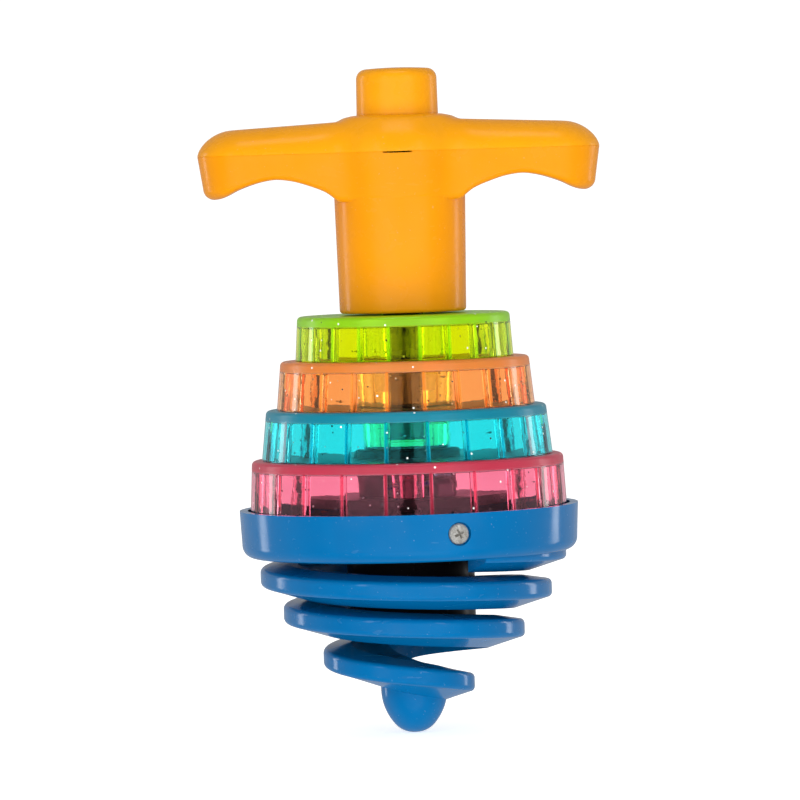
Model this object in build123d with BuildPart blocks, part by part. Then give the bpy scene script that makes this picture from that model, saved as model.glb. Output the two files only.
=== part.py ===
"""Light-up spinning top on its T-handle launcher, as separate moulded parts.

Millimetres, +Z up. The origin is the tip of the rounded nose, on the axis that the top
spins about, and the handle's arms run along X.
"""

import os
from math import cos, radians, sin, tan

from build123d import *

# ---------------------------------------------------------------- launcher: driving dimensions
PARTING_Z = 122.2          # where the handle's two shells meet
ARM_REACH = 42.2           # half the handle's length
ARM_HALF_DEPTH = 10.0      # half the arms' depth, and the radius of their ends
HUB_RADIUS = 15.2          # round middle of the handle
HUB_BLEND = 12.0           # fillet between the round middle and the arms
SHELL_WALL = 1.9
ARM_DRAFT = 8.0            # degrees, lower shell
COVER_DRAFT = 12.0         # degrees, cover
COVER_CROWN_Z = 129.2      # cover's ridge line, carried to the axis
COVER_END_Z = 127.4        # ridge at the arms' ends
COVER_EDGE = 3.6           # fillet round the cover's top
BOSS_BASE_RADIUS = 13.2
BOSS_TOP_RADIUS = 11.4
BOSS_BASE_Z = 127.6
BOSS_TOP_Z = 129.5
TUBE_TOP_RADIUS = 13.75
TUBE_END_RADIUS = 13.3
TUBE_END_Z = 88.5
TUBE_BORE = 11.4
WEB_Z = 114.0              # underside of the web that carries the spindle's upper bearing
WEB_THICK = 3.0

BUTTON_RADIUS = 8.6
BUTTON_TOP_Z = 139.8
BUTTON_EDGE = 2.1
BUTTON_FLANGE_RADIUS = 10.4
BUTTON_FLANGE_TOP_Z = 126.9
BUTTON_FLANGE_THICK = 1.6
BUTTON_WALL = 1.7
BUTTON_HOLE_GAP = 0.2

SPINDLE_RADIUS = 3.6
SPINDLE_BORE = 1.9
SPINDLE_NOSE_RADIUS = 4.2
SPINDLE_TOP_Z = 118.6
SPINDLE_HEX_FLATS = 7.0
SPINDLE_HEX_TOP_Z = 86.4
SPINDLE_END_Z = 61.8
BEARING_GAP = 0.05
THRUST_Z = 91.6             # spindle's thrust flange
THRUST_THICK = 1.5
THRUST_RADIUS = 6.3
ROD_RADIUS = 1.5
ROD_END_Z = 65.4           # one button travel above the socket's floor

RETAINER_Z = 88.9
RETAINER_THICK = 2.2
RETAINER_HOLE = 1.15
RETAINER_COUNTERBORE = 1.9
RETAINER_SEAT = 1.1        # counterbore's depth
LUG_CIRCLE = 9.2           # screw lugs inside the tube, from the axis
LUG_RADIUS = 2.3
LUG_HEIGHT = 9.0

FINGER_RECESS = ((13.4, 111.9), (18.9, 115.5), (25.9, 116.95), (31.3, 115.9), (36.2, 113.7))
HOOK_TIP = (40.4, 114.5)
HOOK_RADIUS = 2.6
HOLLOW_DEPTH = 3.3         # handle shells' hollows, from the parting line
HANDLE_SCREW_X = 25.9
HANDLE_SEAT_Z = 119.2
HANDLE_POST_Z = 117.6
HANDLE_POST_RADIUS = 3.6
HANDLE_HOLE = 1.55
HANDLE_COUNTERBORE = 2.5
PILLAR_RADIUS = 3.2
PILLAR_HEIGHT = 4.2

# screws: head radius, head height, shank radius, length
HANDLE_SCREW = (2.3, 1.5, 1.2, 6.4)
RETAINER_SCREW = (1.75, 1.0, 1.0, 6.0)
BODY_SCREW = (2.15, 1.35, 1.2, 6.8)
MODULE_SCREW = (1.9, 1.1, 1.0, 6.4)
COVER_SCREW = (1.6, 0.9, 0.9, 5.2)

# springs: mean radius, wire, turns
BUTTON_SPRING = (5.3, 0.9, 7)
POWER_SPRING = (5.5, 1.3, 8)
CONTACT_SPRING = (3.2, 0.5, 3)

THIRDS = (0, 120, 240)     # steps of everything that stands three times round the axis

# ---------------------------------------------------------------- top: driving dimensions
FACETS = 22                # flat windows inside every clear tier
TIER_PLATE = 2.0
TIER_WALL = 1.3            # thinnest, at the corners between two windows
TIER_EDGE = 0.9
TIERS = {                  # top z, bottom z, top radius, bottom radius
    "green": (88.1, 78.8, 22.3, 22.9),
    "orange": (78.8, 68.6, 26.1, 27.1),
    "teal": (68.6, 58.1, 29.4, 30.55),
    "pink": (58.1, 40.6, 32.7, 33.6),
}
TAB_WIDTH = 3.6
TAB_DEPTH = 1.2
TAB_DROP = 2.8
TAB_ANGLE = 284.0
TAB_GAP = 0.15

SOCKET_TUBE_RADIUS = 8.7
SOCKET_TUBE_END_Z = 59.8
SOCKET_BORE = 4.6
SOCKET_HEX_FLATS = 7.2
SOCKET_HEX_TOP_Z = 72.0
SOCKET_FLOOR_Z = 61.3

CUP_TOP_Z = 47.7
CUP_FLOOR_Z = 37.8
CUP_TOP_RADIUS = 35.6
CUP_BOTTOM_RADIUS = 35.1
CUP_EDGE = 2.6
CUP_INNER_RADIUS = 33.9
CUP_FLOOR_THICK = 2.1

COIL_START = -0.172         # turns from +X, counter-clockwise seen from above
COIL_END = 3.45
COIL_SPLIT = 2.6
COIL_START_Z = 37.6        # lip's mid height at no turns
COIL_PITCH = 7.85
COIL_START_RADIUS = 32.8
COIL_STEP = 1 / 18         # spacing of the loft's sections, in turns
LIP_HEIGHT = 3.6
LIP_ROUND = 1.1
RIBBON_WIDTH = 7.8
RIBBON_TOP_SLOPE = 9.0
RIBBON_UNDER_SLOPE = 19.0
COLUMN_RADIUS = 5.0        # where the last turn runs into the nose's column
NOSE_RADIUS = 7.0
NOSE_HEIGHT = 9.5
COLUMN_TOP_Z = 13.0

HOUSING_RADIUS = 13.45
HOUSING_END_Z = 20.6
HOUSING_CLEARANCE = 0.7
HOUSING_WALL = 1.5
FLANGE_TOP_Z = 50.0
HOUSING_FLANGE_RADIUS = 19.2
HOUSING_FLANGE_THICK = 2.0
NECK_RADIUS = 9.75
POST_CIRCLE = 16.4
BATTERY_COVER_THICK = 1.8
CELL_RADIUS = 5.8
CELL_HEIGHT = 5.4
CELL_COUNT = 3
CELL_Z = 24.8

BOARD_Z = 43.4
COVER_SCREW_X = 10.0
LAMP_CIRCLE = 13.2
LAMP_ANGLE = 306.0
LAMP_RADIUS = 1.5
WIRE_HOLES = ((-5.2, -9.6), (-5.2, 9.6))
BLUE_ROUTE = ((-5.2, -9.6, 48.1), (-5.2, -9.6, 51.9), (0.4, -12.2, 52.8), (5.1, -12.6, 53.6), (5.3, -12.8, 50.6))
DARK_ROUTE = ((-5.2, 9.6, 48.1), (-5.2, 9.6, 51.9), (-1.6, 12.2, 53.2), (1.8, 13.4, 52.9), (2.2, 13.6, 50.6))

BODY_SCREW_Z = 43.5
BODY_SCREW_ANGLE = 286.8
BODY_SCREW_SEAT = 34.35    # counterbore's floor, from the axis

THREAD_GAP = 0.03          # between a screw and its hole
WIRE_RADIUS = 0.55


def finish(builder: BuildPart, name: str) -> None:
    """Labels one finished piece and writes it as a STEP file."""
    builder.part.label = name
    export_step(builder.part, f"parts/{name}.step")


def radial(angle: float, radius: float = 1.0) -> tuple[float, float]:
    """Point in the XY plane at an angle in degrees and a distance from the axis."""
    return radius * cos(radians(angle)), radius * sin(radians(angle))


# ---------------------------------------------------------------- shared shapes
def handle_plan(inset: float) -> Sketch:
    """Handle seen from above: a round middle and two round-ended arms."""
    end_radius = ARM_HALF_DEPTH - inset
    with BuildSketch() as plan:
        Circle(HUB_RADIUS - inset)
        SlotOverall(2 * (ARM_REACH - inset), 2 * end_radius)
        corners = [v for v in plan.vertices() if 9 < abs(v.X) < 15 and abs(v.Y) > 5]
        fillet(corners, HUB_BLEND)
    return plan.sketch


def screw(head_radius: float, head_height: float, radius: float, length: float) -> Part:
    """Round-headed cross-recess screw: head underside at the origin, shank down -Z."""
    slot_width, slot_length = 0.3 * head_radius, 1.2 * head_radius
    dome = 0.45 * head_height
    with BuildPart() as blank:
        Cylinder(head_radius, head_height, align=(Align.CENTER, Align.CENTER, Align.MIN))
        fillet(blank.edges().group_by(Axis.Z)[-1], dome)
        with Locations((0, 0, -length)):
            Cylinder(radius, length, align=(Align.CENTER, Align.CENTER, Align.MIN))
        chamfer(blank.edges().group_by(Axis.Z)[0], 0.4 * radius)
        with BuildSketch(Plane.XY.offset(head_height)):
            Rectangle(slot_length, slot_width)
            Rectangle(slot_width, slot_length)
        extrude(amount=-0.65 * head_height, mode=Mode.SUBTRACT)
    return blank.part


def spring(size: tuple, low: float, high: float) -> Part:
    """Coil spring of a mean radius, wire and number of turns, between two heights."""
    mean_radius, wire, turns = size
    rise = high - low - wire
    with BuildPart() as coil:
        with BuildLine():
            path = Helix(pitch=rise / turns, height=rise, radius=mean_radius,
                         center=(0, 0, low + wire / 2))
        with BuildSketch(path ^ 0):
            Circle(wire / 2)
        sweep(path=path, is_frenet=True)
    return coil.part


def bend_radii(route: tuple) -> list[float]:
    """Radius of each bend of a wire: as large as the two runs beside it allow."""
    points = [Vector(*point) for point in route]
    radii = []
    for before, corner, after in zip(points, points[1:], points[2:]):
        turn = (corner - before).get_angle(after - corner)
        shorter = min((corner - before).length, (after - corner).length)
        radii.append(0.42 * shorter / tan(radians(turn / 2)))
    return radii


# ---------------------------------------------------------------- launcher
def make_handle_body() -> None:
    """Lower shell: arms with finger recesses, tube, bearing web and screw posts."""
    with BuildPart() as body:
        # arms, drafted down from the parting line, then cut to the finger recesses
        with BuildSketch(Plane.XY.offset(PARTING_Z)):
            add(handle_plan(0))
        extrude(amount=-11, taper=ARM_DRAFT)
        with BuildSketch(Plane.XZ) as side:
            with BuildLine():
                under = Spline(*FINGER_RECESS, tangents=[(1, 0.75), (1, -0.5)])
                hook = RadiusArc(under @ 1, HOOK_TIP, -HOOK_RADIUS)
                Polyline(hook @ 1, (41.6, 119), (44, PARTING_Z), (0, PARTING_Z), (0, (under @ 0).Z), under @ 0)
            make_face()
            mirror(about=Plane.YZ)
        extrude(amount=20, both=True, mode=Mode.INTERSECT)
        # tube
        with BuildSketch(Plane.XY.offset(TUBE_END_Z)):
            Circle(TUBE_END_RADIUS)
        with BuildSketch(Plane.XY.offset(112.5)):
            Circle(TUBE_TOP_RADIUS)
        loft()
        # hollow of the arms
        with BuildSketch(Plane.XY.offset(PARTING_Z)):
            add(handle_plan(SHELL_WALL))
        extrude(amount=-HOLLOW_DEPTH, taper=ARM_DRAFT, mode=Mode.SUBTRACT)
        # tube's bore below the web, and the round well above it
        with BuildSketch(Plane.XY.offset(TUBE_END_Z)):
            Circle(TUBE_BORE)
        extrude(amount=WEB_Z - TUBE_END_Z, mode=Mode.SUBTRACT)
        with BuildSketch(Plane.XY.offset(WEB_Z + WEB_THICK)):
            Circle(TUBE_BORE)
        extrude(amount=4, mode=Mode.SUBTRACT)
        with BuildSketch(Plane.XY.offset(WEB_Z)):
            Circle(SPINDLE_RADIUS + BEARING_GAP)
        extrude(amount=WEB_THICK, mode=Mode.SUBTRACT)
        # lugs for the retainer's screws
        with BuildSketch(Plane.XY.offset(RETAINER_Z + RETAINER_THICK)):
            with Locations((LUG_CIRCLE, 0), (-LUG_CIRCLE, 0)):
                Circle(LUG_RADIUS)
            with Locations((LUG_CIRCLE + 1.6, 0), (-LUG_CIRCLE - 1.6, 0)):
                Rectangle(2.4, 2 * LUG_RADIUS)
        extrude(amount=LUG_HEIGHT)
        with BuildSketch(Plane.XY.offset(RETAINER_Z + RETAINER_THICK)):
            with Locations((LUG_CIRCLE, 0), (-LUG_CIRCLE, 0)):
                Circle(RETAINER_SCREW[2] + THREAD_GAP)
        extrude(amount=LUG_HEIGHT - 1.5, mode=Mode.SUBTRACT)
        # posts for the handle's screws, bored through from the finger recesses
        with BuildSketch(Plane.XY.offset(HANDLE_POST_Z)):
            with Locations((HANDLE_SCREW_X, 0), (-HANDLE_SCREW_X, 0)):
                Circle(HANDLE_POST_RADIUS)
        extrude(amount=PARTING_Z - HANDLE_POST_Z)
        with BuildSketch(Plane.XY.offset(PARTING_Z)):
            with Locations((HANDLE_SCREW_X, 0), (-HANDLE_SCREW_X, 0)):
                Circle(HANDLE_HOLE)
        extrude(amount=-12, mode=Mode.SUBTRACT)
        with BuildSketch(Plane.XY.offset(HANDLE_SEAT_Z)):
            with Locations((HANDLE_SCREW_X, 0), (-HANDLE_SCREW_X, 0)):
                Circle(HANDLE_COUNTERBORE)
        extrude(amount=-8, mode=Mode.SUBTRACT)
    finish(body, "handle_body")


def make_handle_cover() -> None:
    """Upper shell: sloping ridge, raised boss, button hole and screw pillars."""
    with BuildPart() as cover:
        with BuildSketch(Plane.XY.offset(PARTING_Z)):
            add(handle_plan(0))
        extrude(amount=7, taper=COVER_DRAFT)
        with BuildSketch(Plane.XZ):
            with BuildLine():
                Polyline((0, PARTING_Z), (44, PARTING_Z), (44, COVER_END_Z - 0.4), (0, COVER_CROWN_Z),
                         (0, PARTING_Z))
            make_face()
            mirror(about=Plane.YZ)
        extrude(amount=20, both=True, mode=Mode.INTERSECT)
        rim = cover.faces().filter_by(Axis.Z, reverse=True).sort_by(Axis.Z)[-2:].edges()
        fillet(rim.filter_by(lambda e: (e @ 0.5).Z < COVER_CROWN_Z - 0.01), COVER_EDGE)
        # raised boss
        with BuildSketch(Plane.XY.offset(BOSS_BASE_Z)):
            Circle(BOSS_BASE_RADIUS + 0.4)
        with BuildSketch(Plane.XY.offset(BOSS_TOP_Z)):
            Circle(BOSS_TOP_RADIUS)
        loft()
        # hollow
        with BuildSketch(Plane.XY.offset(PARTING_Z)):
            add(handle_plan(SHELL_WALL + 0.3))
        extrude(amount=HOLLOW_DEPTH, taper=COVER_DRAFT, mode=Mode.SUBTRACT)
        with BuildSketch(Plane.XY.offset(PARTING_Z)):
            Circle(BUTTON_FLANGE_RADIUS + 0.5)
        extrude(amount=BUTTON_FLANGE_TOP_Z - PARTING_Z, mode=Mode.SUBTRACT)
        with BuildSketch(Plane.XY.offset(PARTING_Z)):
            Circle(BUTTON_RADIUS + BUTTON_HOLE_GAP)
        extrude(amount=12, mode=Mode.SUBTRACT)
        # screw pillars
        with BuildSketch(Plane.XY.offset(PARTING_Z)):
            with Locations((HANDLE_SCREW_X, 0), (-HANDLE_SCREW_X, 0)):
                Circle(PILLAR_RADIUS)
        extrude(amount=PILLAR_HEIGHT)
        with BuildSketch(Plane.XY.offset(PARTING_Z)):
            with Locations((HANDLE_SCREW_X, 0), (-HANDLE_SCREW_X, 0)):
                Circle(HANDLE_SCREW[2] + THREAD_GAP)
        extrude(amount=PILLAR_HEIGHT + 0.2, mode=Mode.SUBTRACT)
    finish(cover, "handle_cover")


def make_button() -> None:
    """Hollow release button, its rod and its return spring."""
    flange_low = BUTTON_FLANGE_TOP_Z - BUTTON_FLANGE_THICK
    ceiling = BUTTON_TOP_Z - BUTTON_WALL - 0.3
    with BuildPart() as button:
        with BuildSketch(Plane.XY.offset(flange_low)):
            Circle(BUTTON_RADIUS)
        extrude(amount=BUTTON_TOP_Z - flange_low, taper=0.6)
        fillet(button.edges().group_by(Axis.Z)[-1], BUTTON_EDGE)
        with BuildSketch(Plane.XY.offset(flange_low)):
            Circle(BUTTON_FLANGE_RADIUS)
        extrude(amount=BUTTON_FLANGE_THICK)
        with BuildSketch(Plane.XY.offset(flange_low)):
            Circle(BUTTON_RADIUS - BUTTON_WALL)
        extrude(amount=ceiling - flange_low, mode=Mode.SUBTRACT)
        with BuildSketch(Plane.XY.offset(ceiling - 7)):
            Circle(3.4)
        extrude(amount=7.5)
        with BuildSketch(Plane.XY.offset(ceiling - 7)):
            Circle(ROD_RADIUS + THREAD_GAP)
        extrude(amount=6, mode=Mode.SUBTRACT)
    finish(button, "release_button")

    with BuildPart() as rod:
        with BuildSketch(Plane.XY.offset(ROD_END_Z)):
            Circle(ROD_RADIUS)
        extrude(amount=ceiling - 1 - ROD_END_Z)
        chamfer(rod.edges().group_by(Axis.Z)[0], 0.4)
    finish(rod, "push_rod")

    with BuildPart() as coil:
        add(spring(BUTTON_SPRING, WEB_Z + WEB_THICK, ceiling))
    finish(coil, "button_spring")


def make_spindle() -> None:
    """Hollow drive spindle with its thrust flange and hexagonal end."""
    with BuildPart() as spindle:
        with BuildSketch(Plane.XY.offset(THRUST_Z)):
            Circle(SPINDLE_RADIUS)
        extrude(amount=SPINDLE_TOP_Z - THRUST_Z)
        with BuildSketch(Plane.XY.offset(THRUST_Z)):
            Circle(THRUST_RADIUS)
        extrude(amount=THRUST_THICK)
        with BuildSketch(Plane.XY.offset(SPINDLE_HEX_TOP_Z)):
            Circle(SPINDLE_NOSE_RADIUS)
        extrude(amount=THRUST_Z - SPINDLE_HEX_TOP_Z)
        with BuildSketch(Plane.XY.offset(SPINDLE_END_Z)):
            RegularPolygon(SPINDLE_HEX_FLATS / 2, 6, major_radius=False)
        extrude(amount=SPINDLE_HEX_TOP_Z - SPINDLE_END_Z)
        chamfer(spindle.edges().group_by(Axis.Z)[0], 0.5)
        with BuildSketch(Plane.XY.offset(SPINDLE_END_Z)):
            Circle(SPINDLE_BORE)
        extrude(amount=SPINDLE_TOP_Z - SPINDLE_END_Z, mode=Mode.SUBTRACT)
    finish(spindle, "drive_spindle")

    with BuildPart() as coil:
        add(spring(POWER_SPRING, THRUST_Z + THRUST_THICK + 0.6, WEB_Z))
    finish(coil, "power_spring")

    with BuildPart() as washer:
        with BuildSketch(Plane.XY.offset(RETAINER_Z + RETAINER_THICK)):
            Circle(THRUST_RADIUS)
            Circle(SPINDLE_NOSE_RADIUS + 0.1, mode=Mode.SUBTRACT)
        extrude(amount=THRUST_Z - RETAINER_Z - RETAINER_THICK - 0.05)
    finish(washer, "thrust_washer")

    with BuildPart() as retainer:
        with BuildSketch(Plane.XY.offset(RETAINER_Z)):
            Circle(TUBE_BORE - 0.1)
            Circle(SPINDLE_NOSE_RADIUS + BEARING_GAP, mode=Mode.SUBTRACT)
        extrude(amount=RETAINER_THICK)
        with Locations(Plane.XY.offset(RETAINER_Z)):
            with Locations((LUG_CIRCLE, 0), (-LUG_CIRCLE, 0)):
                Hole(RETAINER_HOLE)
        with BuildSketch(Plane.XY.offset(RETAINER_Z)):
            with Locations((LUG_CIRCLE, 0), (-LUG_CIRCLE, 0)):
                Circle(RETAINER_COUNTERBORE)
        extrude(amount=RETAINER_SEAT, mode=Mode.SUBTRACT)
    finish(retainer, "spindle_retainer")


def make_launcher_screws() -> None:
    """Two screws of the handle and two of the retainer, all driven upwards."""
    handle_screw = screw(*HANDLE_SCREW)
    with BuildPart() as pair:
        for side in (-1, 1):
            add(Pos(side * HANDLE_SCREW_X, 0, HANDLE_SEAT_Z) * Rot(180, 0, 0) * handle_screw)
    finish(pair, "handle_screws")
    retainer_screw = screw(*RETAINER_SCREW)
    with BuildPart() as small_pair:
        for side in (-1, 1):
            add(Pos(side * LUG_CIRCLE, 0, RETAINER_Z + RETAINER_SEAT) * Rot(180, 0, 0) * retainer_screw)
    finish(small_pair, "retainer_screws")


# ---------------------------------------------------------------- clear tiers
def tier_shell(name: str) -> BuildPart:
    """Plate and wall of one tier: smooth drafted outside, flat windows inside."""
    top_z, low_z, top_radius, low_radius = TIERS[name]
    turn = -90 + 180 / FACETS
    with BuildPart() as shell:
        with BuildSketch(Plane.XY.offset(low_z)):
            Circle(low_radius)
        with BuildSketch(Plane.XY.offset(top_z)):
            Circle(top_radius)
        loft()
        fillet(shell.edges().group_by(Axis.Z)[-1], TIER_EDGE)
        slope = (low_radius - top_radius) / (top_z - low_z)
        pocket_top = top_radius + slope * TIER_PLATE - TIER_WALL
        with BuildSketch(Plane.XY.offset(low_z)):
            RegularPolygon(low_radius - TIER_WALL, FACETS, rotation=turn)
        with BuildSketch(Plane.XY.offset(top_z - TIER_PLATE)):
            RegularPolygon(pocket_top, FACETS, rotation=turn)
        loft(mode=Mode.SUBTRACT)
    return shell


def tab_sketch(name: str, low_z: float, gap: float) -> Sketch:
    """Three rectangles where a tier's locating tabs stand, larger by a gap for their slots."""
    middle = TIERS[name][3] - TIER_WALL / 2 - 0.1
    spots = [Pos(*radial(TAB_ANGLE + step, middle)) * Rot(0, 0, TAB_ANGLE + step) for step in THIRDS]
    with BuildSketch(Plane.XY.offset(low_z)) as tabs:
        with Locations(*spots):
            Rectangle(TAB_DEPTH + 2 * gap, TAB_WIDTH + 2 * gap)
    return tabs.sketch


def make_tiers() -> None:
    """The four clear tiers, from the top down."""
    green_shell = tier_shell("green")
    with BuildPart() as green:
        add(green_shell.part)
        with BuildSketch(Plane.XY.offset(SOCKET_TUBE_END_Z)):
            Circle(SOCKET_TUBE_RADIUS)
        extrude(amount=TIERS["green"][0] - SOCKET_TUBE_END_Z - 0.5)
        with BuildSketch(Plane.XY.offset(TIERS["green"][0])):
            Circle(SOCKET_BORE)
        extrude(amount=-(TIERS["green"][0] - SOCKET_HEX_TOP_Z), mode=Mode.SUBTRACT)
        with BuildSketch(Plane.XY.offset(SOCKET_FLOOR_Z)):
            RegularPolygon(SOCKET_HEX_FLATS / 2, 6, major_radius=False)
        extrude(amount=SOCKET_HEX_TOP_Z - SOCKET_FLOOR_Z, mode=Mode.SUBTRACT)
        extrude(tab_sketch("green", TIERS["green"][1] - TAB_DROP, 0), amount=TAB_DROP + 0.4)
    finish(green, "green_tier")

    for name, upper in (("orange", "green"), ("teal", "orange")):
        shell = tier_shell(name)
        with BuildPart() as tier:
            add(shell.part)
            with BuildSketch(Plane.XY.offset(TIERS[name][0])):
                Circle(SOCKET_TUBE_RADIUS + 0.3)
            extrude(amount=-TIER_PLATE, mode=Mode.SUBTRACT)
            extrude(tab_sketch(upper, TIERS[name][0], TAB_GAP), amount=-TIER_PLATE, mode=Mode.SUBTRACT)
            extrude(tab_sketch(name, TIERS[name][1] - TAB_DROP, 0), amount=TAB_DROP + 0.4)
        finish(tier, f"{name}_tier")

    shell = tier_shell("pink")
    top_z = TIERS["pink"][0]
    with BuildPart() as pink:
        add(shell.part)
        with BuildSketch(Plane.XY.offset(top_z)):
            Circle(NECK_RADIUS + 0.3)
        extrude(amount=-TIER_PLATE, mode=Mode.SUBTRACT)
        extrude(tab_sketch("teal", top_z, TAB_GAP), amount=-TIER_PLATE, mode=Mode.SUBTRACT)
        # lugs behind the cup's screws
        with BuildSketch(Plane.XY.offset(BODY_SCREW_Z - 2.9)):
            for step in THIRDS:
                with Locations(Pos(*radial(BODY_SCREW_ANGLE + step, 30.0)) * Rot(0, 0, BODY_SCREW_ANGLE + step)):
                    Rectangle(5.4, 6.0)
        extrude(amount=5.8)
        for step in THIRDS:
            aim = BODY_SCREW_ANGLE + step
            out = Plane(origin=(*radial(aim, 34), BODY_SCREW_Z), z_dir=(*radial(aim), 0))
            with BuildSketch(out):
                Circle(BODY_SCREW[2] + THREAD_GAP)
            extrude(amount=-7.2, mode=Mode.SUBTRACT)
        # posts over the housing's flange
        with BuildSketch(Plane.XY.offset(FLANGE_TOP_Z)):
            with PolarLocations(POST_CIRCLE, 3, start_angle=30):
                Circle(2.5)
        extrude(amount=top_z - TIER_PLATE - FLANGE_TOP_Z)
        with BuildSketch(Plane.XY.offset(FLANGE_TOP_Z)):
            with PolarLocations(POST_CIRCLE, 3, start_angle=30):
                Circle(MODULE_SCREW[2] + THREAD_GAP)
        extrude(amount=5.5, mode=Mode.SUBTRACT)
    finish(pink, "pink_tier")


# ---------------------------------------------------------------- spiral base
def coil_height(turn: float) -> float:
    """Height of the lip's middle: even pitch, steeper below, levelling into the nose."""
    height = COIL_START_Z - COIL_PITCH * turn
    if turn > 1.5:
        height -= 1.9 * (turn - 1.5) ** 2
    if turn > 2.85:
        height += 19.0 * (turn - 2.85) ** 2
    return height


def coil_radius(turn: float) -> float:
    """Lip's radius: a bowl that closes faster the lower it gets."""
    plain = COIL_START_Z - COIL_PITCH * turn - (1.9 * (turn - 1.5) ** 2 if turn > 1.5 else 0)
    drop = max(COIL_START_Z - plain, 0)
    spread = COIL_START_RADIUS - 0.163 * drop ** 1.45
    if turn < 0:
        spread = COIL_START_RADIUS - 1.0 * turn
    if turn > 2.85:
        spread += 3.0 * (turn - 2.85) ** 2
    return spread


def ribbon_inner(turn: float) -> float:
    """Inner radius: constant width, then in to the nose's column on the last turn."""
    open_edge = coil_radius(turn) - RIBBON_WIDTH
    share = min(max((turn - 2.2) / 0.3, 0), 1)
    share = share * share * (3 - 2 * share)
    return open_edge + (COLUMN_RADIUS - open_edge) * share


def ribbon_section(turn: float) -> Sketch:
    """Cross-section of the spiral in the half plane through the axis."""
    angle = 360 * turn
    out = (cos(radians(angle)), sin(radians(angle)), 0)
    plane = Plane(origin=(0, 0, coil_height(turn)), x_dir=out, z_dir=(out[1], -out[0], 0))
    lip, edge = coil_radius(turn), ribbon_inner(turn)
    half = LIP_HEIGHT / 2
    rise = half + min(lip - edge, 6.0) * tan(radians(RIBBON_TOP_SLOPE))
    fall = half + (lip - edge - 1) * tan(radians(RIBBON_UNDER_SLOPE))
    knee = lip - min(0.75 * (lip - edge), 5.9)
    with BuildSketch(plane) as section:
        with BuildLine():
            Polyline((lip, -half), (lip, half), (knee, rise), (edge, rise), (edge, -fall),
                     (lip - 1.2, -half - 0.3), close=True)
        make_face()
        fillet(section.vertices().group_by(Axis.X)[-1], LIP_ROUND)
    return section.sketch


def ribbon_run(first: float, last: float) -> Part:
    """One stretch of the spiral, between two turns counted from +X."""
    count = round((last - first) / COIL_STEP)
    with BuildPart() as run:
        loft([ribbon_section(first + (last - first) * i / count) for i in range(count + 1)])
    return run.part


def make_spiral_base() -> None:
    """Blue moulding: cup, open spiral below it, and the rounded nose."""
    room_z = CUP_FLOOR_Z + CUP_FLOOR_THICK
    with BuildPart() as room:
        # space that the base leaves free: inside the cup, and for the housing below it
        with BuildSketch(Plane.XY.offset(room_z)):
            Circle(CUP_INNER_RADIUS)
        extrude(amount=12)
        with BuildSketch(Plane.XY.offset(HOUSING_END_Z - HOUSING_CLEARANCE)):
            Circle(HOUSING_RADIUS + HOUSING_CLEARANCE)
        extrude(amount=room_z - HOUSING_END_Z + HOUSING_CLEARANCE)
    with BuildPart() as upper_turns:
        add(ribbon_run(COIL_START, COIL_SPLIT))
        add(room.part, mode=Mode.SUBTRACT)
    with BuildPart() as base:
        with BuildSketch(Plane.XY.offset(CUP_FLOOR_Z)):
            Circle(CUP_BOTTOM_RADIUS)
        with BuildSketch(Plane.XY.offset(CUP_TOP_Z)):
            Circle(CUP_TOP_RADIUS)
        loft()
        fillet(base.edges().group_by(Axis.Z)[0], CUP_EDGE)
        add(room.part, mode=Mode.SUBTRACT)
        add(upper_turns.part)
        add(ribbon_run(COIL_SPLIT, COIL_END))
        # nose and the column above it
        with BuildSketch(Plane.XZ):
            with BuildLine():
                waist = (NOSE_RADIUS * sin(radians(45)), NOSE_HEIGHT * (1 - cos(radians(45))))
                belly = Spline((0, 0), waist, (NOSE_RADIUS, NOSE_HEIGHT), tangents=[(1, 0), (0, 1)])
                Polyline(belly @ 1, (NOSE_RADIUS, COLUMN_TOP_Z), (0, COLUMN_TOP_Z), belly @ 0)
            make_face()
        revolve(axis=Axis.Z)
        # screw holes with their counterbores
        for step in THIRDS:
            aim = BODY_SCREW_ANGLE + step
            out = Plane(origin=(*radial(aim, 37), BODY_SCREW_Z), z_dir=(*radial(aim), 0))
            with BuildSketch(out):
                Circle(1.4)
            extrude(amount=-6, mode=Mode.SUBTRACT)
            with BuildSketch(out):
                Circle(BODY_SCREW[0] + 0.3)
            extrude(amount=BODY_SCREW_SEAT - 37, mode=Mode.SUBTRACT)
    finish(base, "spiral_base")


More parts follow.
